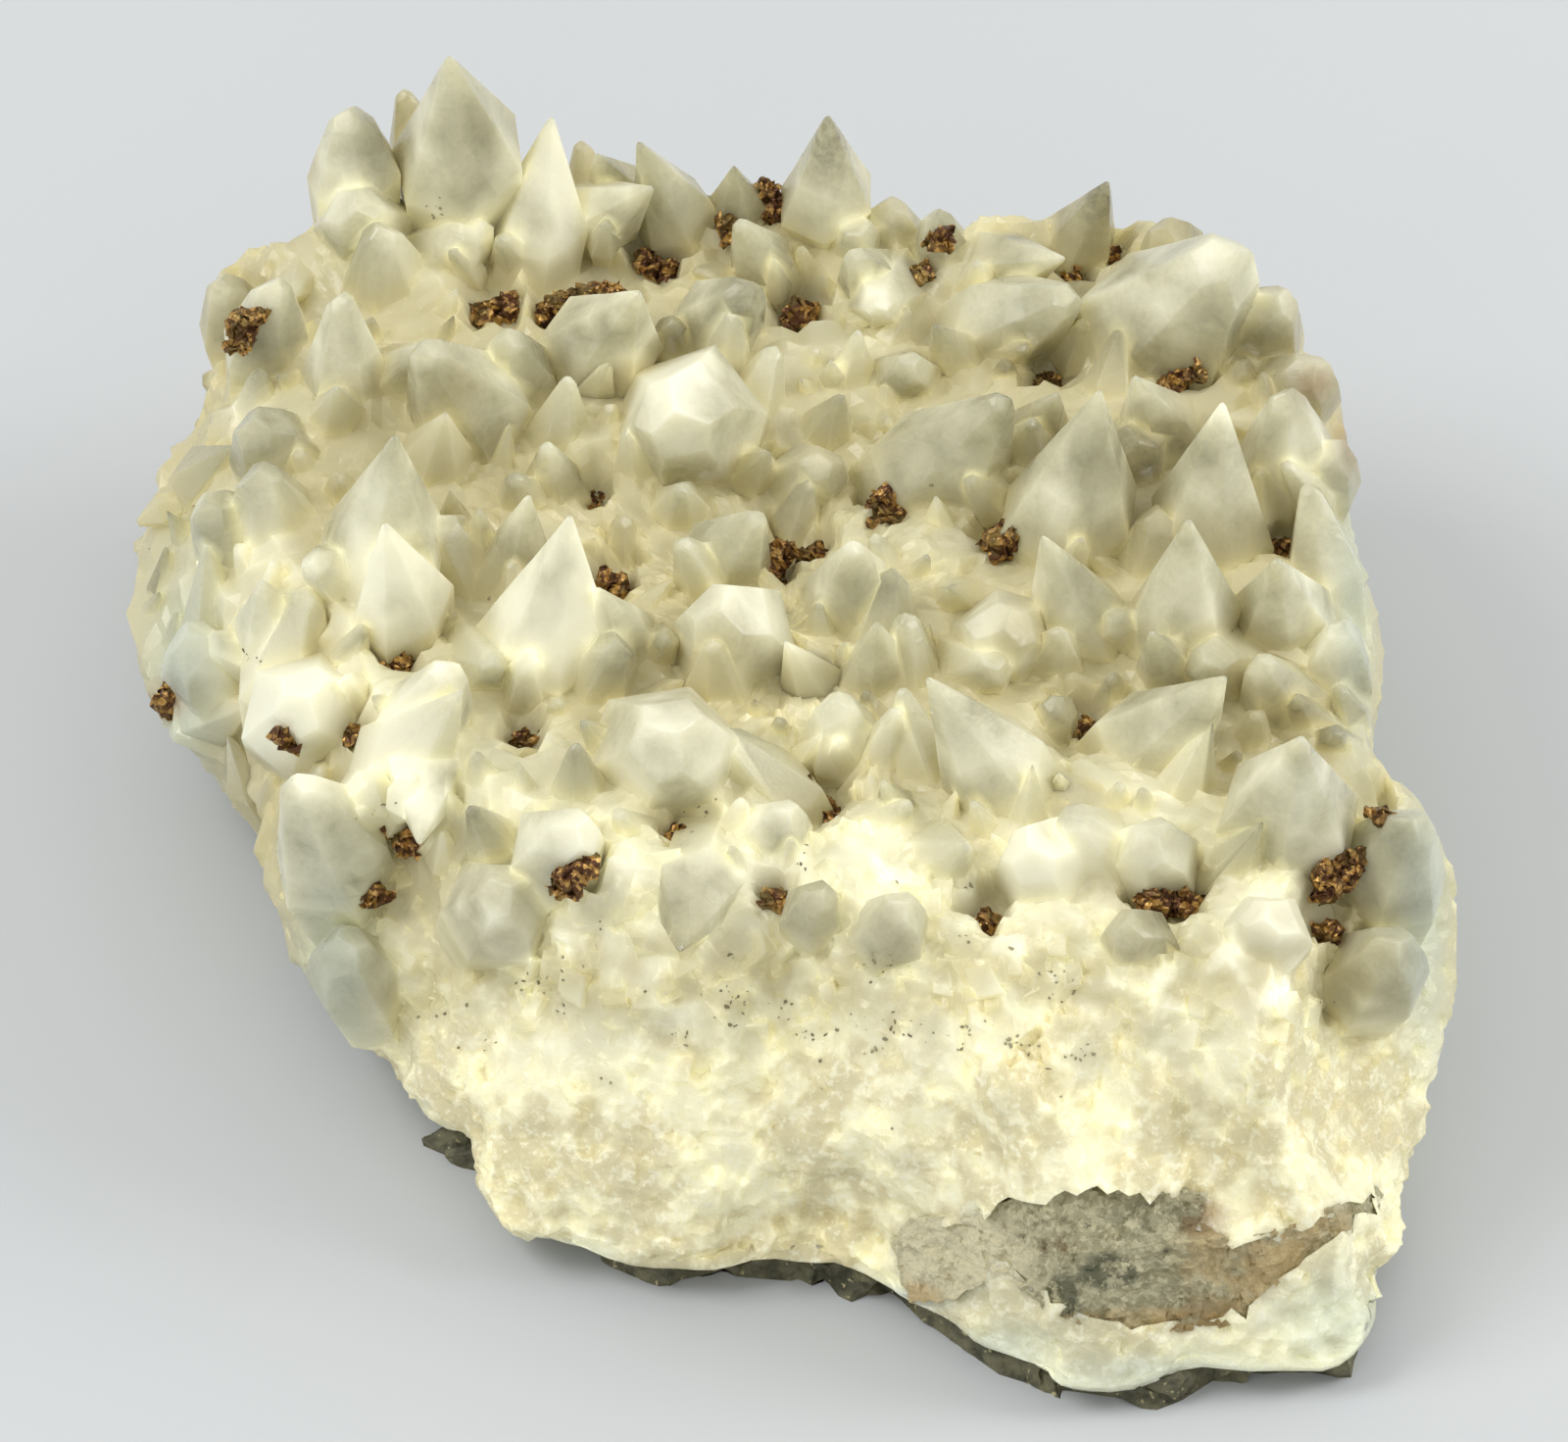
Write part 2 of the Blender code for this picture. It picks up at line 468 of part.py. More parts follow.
def strung(lumps):
    """The lumps of a grain, with more between two that wouldn't reach each other."""
    strung_lumps = [Vector(lumps[0])]
    for lump_end in lumps[1:]:
        start, end = strung_lumps[-1], Vector(lump_end)
        spaces = math.ceil((end - start).xy.length / (LUMP_SPACING * (start.z + end.z)))
        strung_lumps += [start.lerp(end, step / spaces) for step in range(1, spaces + 1)]
    return strung_lumps


def grain_places(lumps, tree):
    """Where a grain's lumps lie: half sunk in the surface, each touching the one before it."""
    places = []
    for across, up, radius in strung(lumps):
        depth = sight_depth(tree, across, up)
        while depth is None:
            across, up = across * EDGE_STEP, up * EDGE_STEP
            depth = sight_depth(tree, across, up)
        depth -= radius * GRAIN_SINK
        if places:
            level = places[-1][0].dot(TOWARD)
            depth = min(max(depth, level - radius / 3), level + radius / 3)
        places.append((sheet_point(across, up, depth), radius))
    return places


def lens_prism(grow, depth, surface):
    """A prism along the sight line from the lens's bed, this deep in the front face, outwards."""
    shape = bmesh.new()
    corners = []
    for index, point in enumerate(LENS_OUTLINE):
        following = LENS_OUTLINE[(index + 1) % len(LENS_OUTLINE)]
        along = (Vector(following) - Vector(LENS_OUTLINE[index - 1])).normalized()
        place = Vector(point) + Vector((-along.y, along.x)) * grow
        corners.append(shape.verts.new(sheet_point(*place)))
    face = shape.faces.new(corners)
    made = bmesh.ops.extrude_face_region(shape, geom=[face])
    front = [item for item in made["geom"] if isinstance(item, bmesh.types.BMVert)]
    bmesh.ops.translate(shape, vec=TOWARD * FAR, verts=front)
    for corner in corners:
        across, up = corner.co.dot(ACROSS), corner.co.dot(UP_SHEET)
        corner.co += TOWARD * (sight_depth(surface, across, up) - depth)
    bmesh.ops.triangulate(shape, faces=shape.faces)
    return object_from("lens prism", shape, "rock_inclusion", helper=True)


def lens_of_rock(calcite):
    """The lens takes its face from the vein's skin: what the vein and the prism share."""
    lens = lens_prism(0.0, LENS_DEPTH, skin_of(calcite))
    lens.name = "rock_inclusion"
    lens.hide_render = False
    lens.display_type = "TEXTURED"
    block = calcite.copy()
    block.data = calcite.data.copy()
    combine(lens, [block], "INTERSECT")
    return tidy(lens)


def plate_of_wall_rock():
    rim_rows = rim_in_plan()
    shape = bmesh.new()
    ring = []
    for column in range(PLATE_COLUMNS):
        x, y, height, _ = smooth_loop(rim_rows, column / PLATE_COLUMNS)
        edge = Vector((x, y))
        inward = (MASS_MIDDLE - edge).normalized()
        inset = PLATE_INSET + SIDE_STEPS[0][0] * (height - PLATE_THICKNESS)
        for middle, reach, out in PLATE_TONGUES:
            inset -= (out + inset) * math.exp(-((edge - Vector(middle)).length / reach) ** 2)
        inset += noise.noise(Vector((x, y, 0.0)) / PLATE_RAGGED["size"]) * PLATE_RAGGED["reach"]
        ring.append(shape.verts.new((*(edge + inward * inset), 0.0)))
    face = shape.faces.new(ring)
    made = bmesh.ops.extrude_face_region(shape, geom=[face])
    top = [item for item in made["geom"] if isinstance(item, bmesh.types.BMVert)]
    for vert in top:
        place = Vector((vert.co.x, vert.co.y))
        vert.co.xy = place + (MASS_MIDDLE - place).normalized() * PLATE_BEVEL
        vert.co.z = PLATE_THICKNESS
    bmesh.ops.triangulate(shape, faces=shape.faces)
    return object_from("wall_rock", shape, "wall_rock")


def pieces():
    """All the pieces, in the frame of the tables."""
    calcite = settle(vein_mass())
    bed = skin_of(calcite)
    crystals = [grown_crystal(row, bed) for row in BACK_ROW + LEFT_BED + MIDDLE_BED + RIGHT_BED]
    combine(calcite, crystals, "UNION")
    tidy(calcite)

    lens = lens_of_rock(calcite)
    surface = skin_of(calcite)
    grains = []
    pockets = [lens_prism(GAP, LENS_DEPTH + GAP, surface)]
    for number, lumps in enumerate(GRAINS, 1):
        places = grain_places(lumps, surface)
        grains.append(grain_body(f"chalcopyrite_{number:02d}", places, 0.0, False))
        pockets.append(grain_body("pocket", places, POCKET_GROWTH, True))
    combine(calcite, pockets, "DIFFERENCE")
    tidy(calcite)
    return [calcite, plate_of_wall_rock(), lens, *grains]


def stand_on_table(bodies):
    """Scales millimetres to metres, with the origin under the middle of the specimen's box."""
    corners = [vert.co for body in bodies for vert in body.data.vertices]
    low = Vector(min(corner[axis] for corner in corners) for axis in range(3))
    high = Vector(max(corner[axis] for corner in corners) for axis in range(3))
    origin = Vector(((low.x + high.x) / 2, (low.y + high.y) / 2, low.z))
    for body in bodies:
        body.data.transform(Matrix.Scale(MM, 4) @ Matrix.Translation(-origin))
    print("origin of the box in the tables' frame, mm:", *(round(value, 4) for value in origin))


clear_scene()
stand_on_table(pieces())
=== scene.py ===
import math
import random

import bmesh
import bpy
from mathutils import Matrix, Vector, noise
from mathutils.bvhtree import BVHTree


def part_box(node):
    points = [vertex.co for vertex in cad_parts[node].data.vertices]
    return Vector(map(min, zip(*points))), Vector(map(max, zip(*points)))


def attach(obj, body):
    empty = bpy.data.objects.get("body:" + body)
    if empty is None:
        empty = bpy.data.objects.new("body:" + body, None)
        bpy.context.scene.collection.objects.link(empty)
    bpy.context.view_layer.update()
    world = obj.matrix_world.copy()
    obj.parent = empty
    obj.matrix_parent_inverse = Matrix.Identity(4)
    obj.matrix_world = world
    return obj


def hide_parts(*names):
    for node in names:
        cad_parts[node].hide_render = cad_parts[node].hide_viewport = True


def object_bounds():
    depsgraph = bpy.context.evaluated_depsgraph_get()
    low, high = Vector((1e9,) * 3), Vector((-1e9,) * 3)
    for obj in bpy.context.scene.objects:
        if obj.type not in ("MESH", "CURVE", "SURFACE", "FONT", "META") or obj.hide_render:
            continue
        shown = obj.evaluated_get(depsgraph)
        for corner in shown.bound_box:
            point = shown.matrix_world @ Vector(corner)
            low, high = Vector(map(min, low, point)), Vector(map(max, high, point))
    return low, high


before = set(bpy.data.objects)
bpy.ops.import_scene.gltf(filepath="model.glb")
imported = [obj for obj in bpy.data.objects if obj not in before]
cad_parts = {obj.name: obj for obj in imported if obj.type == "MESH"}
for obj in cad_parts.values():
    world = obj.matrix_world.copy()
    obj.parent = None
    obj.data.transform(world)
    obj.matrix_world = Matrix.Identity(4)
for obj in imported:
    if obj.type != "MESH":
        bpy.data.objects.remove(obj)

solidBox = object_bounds()

# Pieces are shaped in millimetres, as the specimen is seen from the front and above: across runs to
# the right, up runs up the sheet that faces the sight line. They are put in metres at the end.
sheet = {
    "slope": math.radians(45),                  # of the sight line
    "foot": Vector((0.2134, -29.688, 0.0)),     # middle of the finished box's foot, in this frame
    "far": 300.0,
}
mm = 0.001
acrossWay = Vector((1.0, 0.0, 0.0))
upWay = Vector((0.0, math.sin(sheet["slope"]), math.cos(sheet["slope"])))
towardWay = Vector((0.0, -math.cos(sheet["slope"]), math.sin(sheet["slope"])))


def sheetPoint(across, up, toward=0.0):
    return acrossWay * across + upWay * up + towardWay * toward


# Mesh helpers

def pieceFrom(shape, name):
    mesh = bpy.data.meshes.new(name)
    bmesh.ops.recalc_face_normals(shape, faces=shape.faces)
    shape.to_mesh(mesh)
    shape.free()
    made = bpy.data.objects.new(name, mesh)
    bpy.context.scene.collection.objects.link(made)
    return made


def shapeOf(piece):
    shape = bmesh.new()
    shape.from_mesh(piece.data)
    return shape


def settled(piece):
    # the piece with what its modifiers make of it as its mesh
    graph = bpy.context.evaluated_depsgraph_get()
    piece.data = bpy.data.meshes.new_from_object(piece.evaluated_get(graph))
    piece.modifiers.clear()
    return piece


def fused(body, others, how):
    # the others joined to the body or cut out of it; they are removed
    group = bpy.data.collections.new("operands")
    bpy.context.scene.collection.children.link(group)
    for other in others:
        group.objects.link(other)
    join = body.modifiers.new("join", "BOOLEAN")
    join.operation = how
    join.solver = "MANIFOLD"
    join.operand_type = "COLLECTION"
    join.collection = group
    settled(body)
    for other in others:
        bpy.data.objects.remove(other, do_unlink=True)
    bpy.data.collections.remove(group)
    return body


def cutTo(shape, longest):
    # splits edges until none is longer
    for attempt in range(7):
        edges = [edge for edge in shape.edges if edge.calc_length() > longest]
        if not edges:
            return
        bmesh.ops.subdivide_edges(shape, edges=edges, cuts=1)
        bmesh.ops.triangulate(shape, faces=[face for face in shape.faces if len(face.verts) > 3])


def skinOf(piece):
    shape = shapeOf(piece)
    skin = BVHTree.FromBMesh(shape)
    shape.free()
    return skin


def onSheet(place):
    # where a place is seen: across and up
    return place.dot(acrossWay), place.dot(upWay)


def seenAt(skin, across, up):
    # the first place that the sight line meets there, and its normal
    return skin.ray_cast(sheetPoint(across, up, sheet["far"]), -towardWay)[:2]


def sightDepth(skin, across, up):
    hit = seenAt(skin, across, up)[0]
    return None if hit is None else hit.dot(towardWay)


def wayOut(draw, heights):
    # a random place up the vein's middle, and a level way out of it
    bearing = draw.uniform(0, 2 * math.pi)
    outward = Vector((math.cos(bearing), math.sin(bearing), 0))
    return Vector((*vein["middle"], draw.uniform(*heights))), outward


def wobble(place):
    shifts = (Vector((3.1, 7.7, 1.3)), Vector((-8.2, 2.4, 5.6)), Vector((6.5, -4.9, 9.2)))
    return Vector([noise.noise(place + shift) for shift in shifts]) * 1.5


def chipStep(place, size):
    # how far the tilted plane of a broken chip stands out here, about one unit each way
    middle = noise.voronoi(place / size)[1][0]
    tilt = noise.cell_vector(middle * 17.0) - Vector((0.5, 0.5, 0.5))
    return 2.2 * tilt.dot(place / size - middle) + 0.5 * noise.cell(middle * 23.0)


def movedBy(shape, moves):
    # moves each point, once all the moves are known
    for vert, move in zip(shape.verts, moves):
        vert.co += move


def rounded(shape, edges, offset, segments):
    bmesh.ops.bevel(
        shape, geom=edges, affect="EDGES", offset=offset, segments=segments, profile=0.5, material=-1,
        clamp_overlap=True,
    )


def held(value, low=0.0, high=1.0):
    return min(high, max(low, value))


def ramp(value, start, end):
    # nought at the start, one at the end, smooth between
    share = held((value - start) / (end - start))
    return share * share * (3 - 2 * share)


# The vein calcite

vein = {
    "underside": 3.92,
    "bedHeight": 37.0,
    "riseToBack": 0.03,
    "middle": Vector((0.0, -28.0)),
    "trough": {"across": 3.0, "back": 5.0, "halfWidth": 16.0, "halfLength": 24.0, "depth": 4.0},
    "leftFall": {"start": -40.0, "reach": 25.0, "drop": 9.0},
    # rings up the side, up the broken face and over the bed: inwards and up, as shares
    "sideSteps": ((0.5, 0.0), (0.22, 0.5), (0.0, 1.0)),
    "faceSteps": ((0.25, 0.4), (0.6, 0.75), (1.0, 1.0)),
    "bedSteps": (0.78, 0.5, 0.22, 0.0),
    "lumps": ((16.0, 1.8), (7.0, 1.0)),
    "seatColumns": 52,
    "seatFaces": 480,
    "columns": 250,
    "fineness": 5,          # rings of the visible body for each ring of the seat
    "longest": (3.0, 1.5, 0.95),    # edges that are halved, one pass after the other
    "coarser": 1.9,         # behind the front
    "chips": ((6.5, 0.6), (2.9, 0.5), (1.4, 0.26)),
    "scallops": ((3.4, 0.9), (1.5, 0.35)),      # along the lower rim
    "bedChips": 0.9,        # share of the chips' relief on the bed
    "bedNormal": 0.7,       # least upward share of a normal on the bed
    "heart": 20.0,          # height of a place well inside
    "keptEdges": 0.5,       # height over the underside below which no edge is halved
    "softStart": 2.0,       # height over the underside below which the chips fade
    "lowPart": (18.0, 6.0),     # heights where the scallops start and are full
    "rimStart": 0.8,        # height over the underside where they end
    "calmed": 0.4,          # share of the chips that they take away
    "swelling": 2.4,        # strength of the scallops
    "filling": 3.4,         # by which the crystals' intergrown feet lift the bed
    "filled": (24.0, 34.0),     # heights between which that lift grows
    "clearing": (0.1, 2.0),     # and how far from a grain
    "strayClearing": (1.6, 2.2),    # by how much, and over what size, the last strays
    "front": (-14.0, -44.0),    # up the sheet, and y, below which the broken face lies
}
# (across, up, height of the widest edge, inset of the bed's edge)
veinRim = [
    (-51.0, 45.0, 34.0, 3.0), (-38.0, 52.0, 36.5, 3.0), (-24.0, 52.0, 37.0, 3.0), (-10.0, 50.0, 37.0, 3.0),
    (5.0, 49.5, 37.0, 3.0), (20.0, 48.0, 36.0, 3.0), (33.0, 48.5, 36.0, 3.0), (43.0, 47.0, 35.5, 3.0),
    (50.5, 39.5, 34.0, 4.0), (56.0, 28.5, 31.0, 5.0), (57.0, 17.5, 29.0, 5.0), (58.5, 5.5, 28.0, 6.0),
    (60.0, -5.5, 27.0, 8.0), (65.5, -13.5, 25.0, 9.0), (67.0, -22.5, 21.0, 10.0), (64.0, -34.5, 14.0, 13.0),
    (62.3, -44.5, 9.0, 17.0), (61.5, -55.5, 6.5, 22.0), (57.0, -62.3, 6.0, 26.0), (45.0, -64.0, 5.5, 27.0),
    (30.0, -66.0, 5.5, 28.0), (22.5, -62.5, 5.5, 26.0), (13.0, -58.0, 5.5, 23.0), (3.0, -54.0, 5.5, 21.0),
    (-10.0, -54.5, 5.5, 21.0), (-24.0, -52.0, 6.0, 20.0), (-29.5, -47.5, 7.0, 18.0),
    (-32.0, -42.0, 8.5, 16.0), (-39.0, -35.0, 10.0, 15.0), (-46.0, -27.5, 12.0, 14.0),
    (-51.0, -19.5, 14.0, 12.0), (-55.0, -7.5, 16.0, 12.0), (-62.5, 1.0, 18.0, 13.0),
    (-65.4, 14.0, 20.0, 14.0), (-63.4, 25.5, 23.0, 13.0), (-59.0, 33.5, 28.0, 8.0), (-57.0, 43.0, 32.0, 5.0),
]


def bedHeight(x, y):
    fall = max(0.0, (vein["leftFall"]["start"] - x) / vein["leftFall"]["reach"])
    trough = vein["trough"]
    along = (y - trough["back"]) / trough["halfLength"]
    aside = (x - trough["across"]) / trough["halfWidth"]
    level = vein["bedHeight"] + vein["riseToBack"] * (y - vein["middle"].y)
    return level - vein["leftFall"]["drop"] * fall**2 - trough["depth"] * math.exp(-(along**2) - aside**2)


def rimInPlan():
    rows = []
    for across, up, height, inset in veinRim:
        depth = (height - up * upWay.z) / towardWay.z
        place = sheetPoint(across, up, depth)
        rows.append((place.x, place.y, height, inset))
    return rows


def smoothLoop(points, share):
    # the point at this share of the way round a closed smooth curve through the points
    place = share * len(points)
    index = int(place)
    t = place - index
    p0, p1, p2, p3 = (Vector(points[(index + step) % len(points)]) for step in (-1, 0, 1, 2))
    square = 2 * p0 - 5 * p1 + 4 * p2 - p3
    cube = 3 * p1 - p0 - 3 * p2 + p3
    return p1 + (p2 - p0) * t / 2 + square * t**2 / 2 + cube * t**3 / 2


def veinPoint(rim, ring):
    edge = Vector((rim[0], rim[1]))
    inward = (vein["middle"] - edge).normalized()
    height, inset = rim[2], rim[3]
    if ring < 1:
        return Vector((*vein["middle"], vein["underside"]))
    ring -= 1
    if ring < len(vein["sideSteps"]):
        under, share = vein["sideSteps"][ring]
        place = edge + inward * under * (height - vein["underside"])
        return Vector((*place, vein["underside"] + (height - vein["underside"]) * share))
    ring -= len(vein["sideSteps"])
    if ring < len(vein["faceSteps"]):
        step, share = vein["faceSteps"][ring]
        place = edge + inward * inset * step
        return Vector((*place, height + (bedHeight(*place) - height) * share))
    ring -= len(vein["faceSteps"])
    shoulder = edge + inward * inset
    place = vein["middle"] + (shoulder - vein["middle"]) * vein["bedSteps"][ring]
    return Vector((*place, bedHeight(*place)))


def veinShape(columns, fineness):
    # a grid wrapped round the rim, with its first row the underside's middle and its last the bed's
    rims = rimInPlan()
    rings = 1 + len(vein["sideSteps"]) + len(vein["faceSteps"]) + len(vein["bedSteps"])
    rows = (rings - 1) * fineness
    shape = bmesh.new()
    bmesh.ops.create_grid(shape, x_segments=columns, y_segments=rows, size=0.5)
    for vert in shape.verts:
        rim = smoothLoop(rims, (vert.co.x + 0.5) % 1.0)
        row = round((vert.co.y + 0.5) * rows)
        ring, between = divmod(row, fineness)
        place = veinPoint(rim, ring)
        if between:
            place = place.lerp(veinPoint(rim, ring + 1), between / fineness)
        if row > fineness:
            for size, lift in vein["lumps"]:
                place = place + wobble(place / size) * lift
        vert.co = place
    bmesh.ops.remove_doubles(shape, verts=shape.verts, dist=0.001)
    return shape


def seatOfCrystals():
    # the plain body that the crystals are seated on
    shape = veinShape(vein["seatColumns"], 1)
    bmesh.ops.triangulate(shape, faces=shape.faces)
    seat = pieceFrom(shape, "seat")
    thin = seat.modifiers.new("thin", "DECIMATE")
    thin.ratio = vein["seatFaces"] / len(seat.data.polygons)
    skin = skinOf(settled(seat))
    bpy.data.objects.remove(seat, do_unlink=True)
    return skin


def onFront(place):
    return place.dot(upWay) < vein["front"][0] and place.y < vein["front"][1]


def veinBody(spots):
    shape = veinShape(vein["columns"], vein["fineness"])
    axes = {"use_axis_x": True, "use_axis_y": True, "use_axis_z": True}
    bmesh.ops.smooth_vert(shape, verts=shape.verts, factor=0.5, **axes)
    for longest in vein["longest"]:
        rough = [
            edge for edge in shape.edges
            if edge.verts[0].co.z > vein["underside"] + vein["keptEdges"]
            and edge.calc_length() > longest * (1.0 if onFront(edge.verts[0].co) else vein["coarser"])
        ]
        bmesh.ops.subdivide_edges(shape, edges=rough, cuts=1, use_grid_fill=True)
    bmesh.ops.triangulate(shape, faces=shape.faces)
    shape.normal_update()
    floorLevel = vein["underside"]
    moves = []
    for vert in shape.verts:
        share = held((vert.co.z - floorLevel) / vein["softStart"])
        share *= 1.0 if vert.normal.z < vein["bedNormal"] or onFront(vert.co) else vein["bedChips"]
        relief = sum(lift * chipStep(vert.co, size) for size, lift in vein["chips"])
        low = ramp(vert.co.z, *vein["lowPart"]) * ramp(vert.co.z, floorLevel, floorLevel + vein["rimStart"])
        swell = sum(lift * abs(noise.noise(vert.co / size)) for size, lift in vein["scallops"])
        calmed = relief * share * (1 - vein["calmed"] * low)
        moves.append(vert.normal * (calmed + swell * vein["swelling"] * low))
    stray, size = vein["strayClearing"]
    for vert, move in zip(shape.verts, moves):
        vert.co += move
        across, up = onSheet(vert.co)
        gap = min(math.hypot(across - a, up - b) - reach for a, b, reach in spots)
        nearness = ramp(gap + stray * noise.noise(vert.co / size), *vein["clearing"])
        vert.co.z += vein["filling"] * ramp(vert.co.z, *vein["filled"]) * nearness
    return shape


# The crystals

crystals = {
    "tipHeight": 1.28,      # tip over the belt, per width
    "footHeights": (1.0, 0.8, 0.6, 0.4),    # the first whose end lies inside the vein
    "footMargin": 0.1,      # of the length, that the vein must cover beyond the foot's end
    "freeFoot": (0.7, 0.2),     # height and narrowing of a foot that no vein hides
    "footTaper": 0.88,
    "zigzag": 0.22,         # of the belt, per radius
    "capSlope": math.radians(44.6),
    "leastLean": math.radians(20),
    "buried": 0.3,          # how far below the belt the bed lies, per length
    "buriedStep": 0.1,
    "bevel": 0.02,          # rounding of the edges, per width
    "mostBevel": 0.2,
    "edge": 3.1,            # longest edge of the faces
    "sharpFrom": math.radians(17),
    "uneven": ((5.5, 0.09), (1.9, 0.03)),
    "leastFold": 0.1,       # angle from which an edge is rounded
    "roundedTo": 0.7,       # of the foot's height, down which the edges are rounded
    "skew": 0.07,           # how far the belt's corners stray, per radius
}
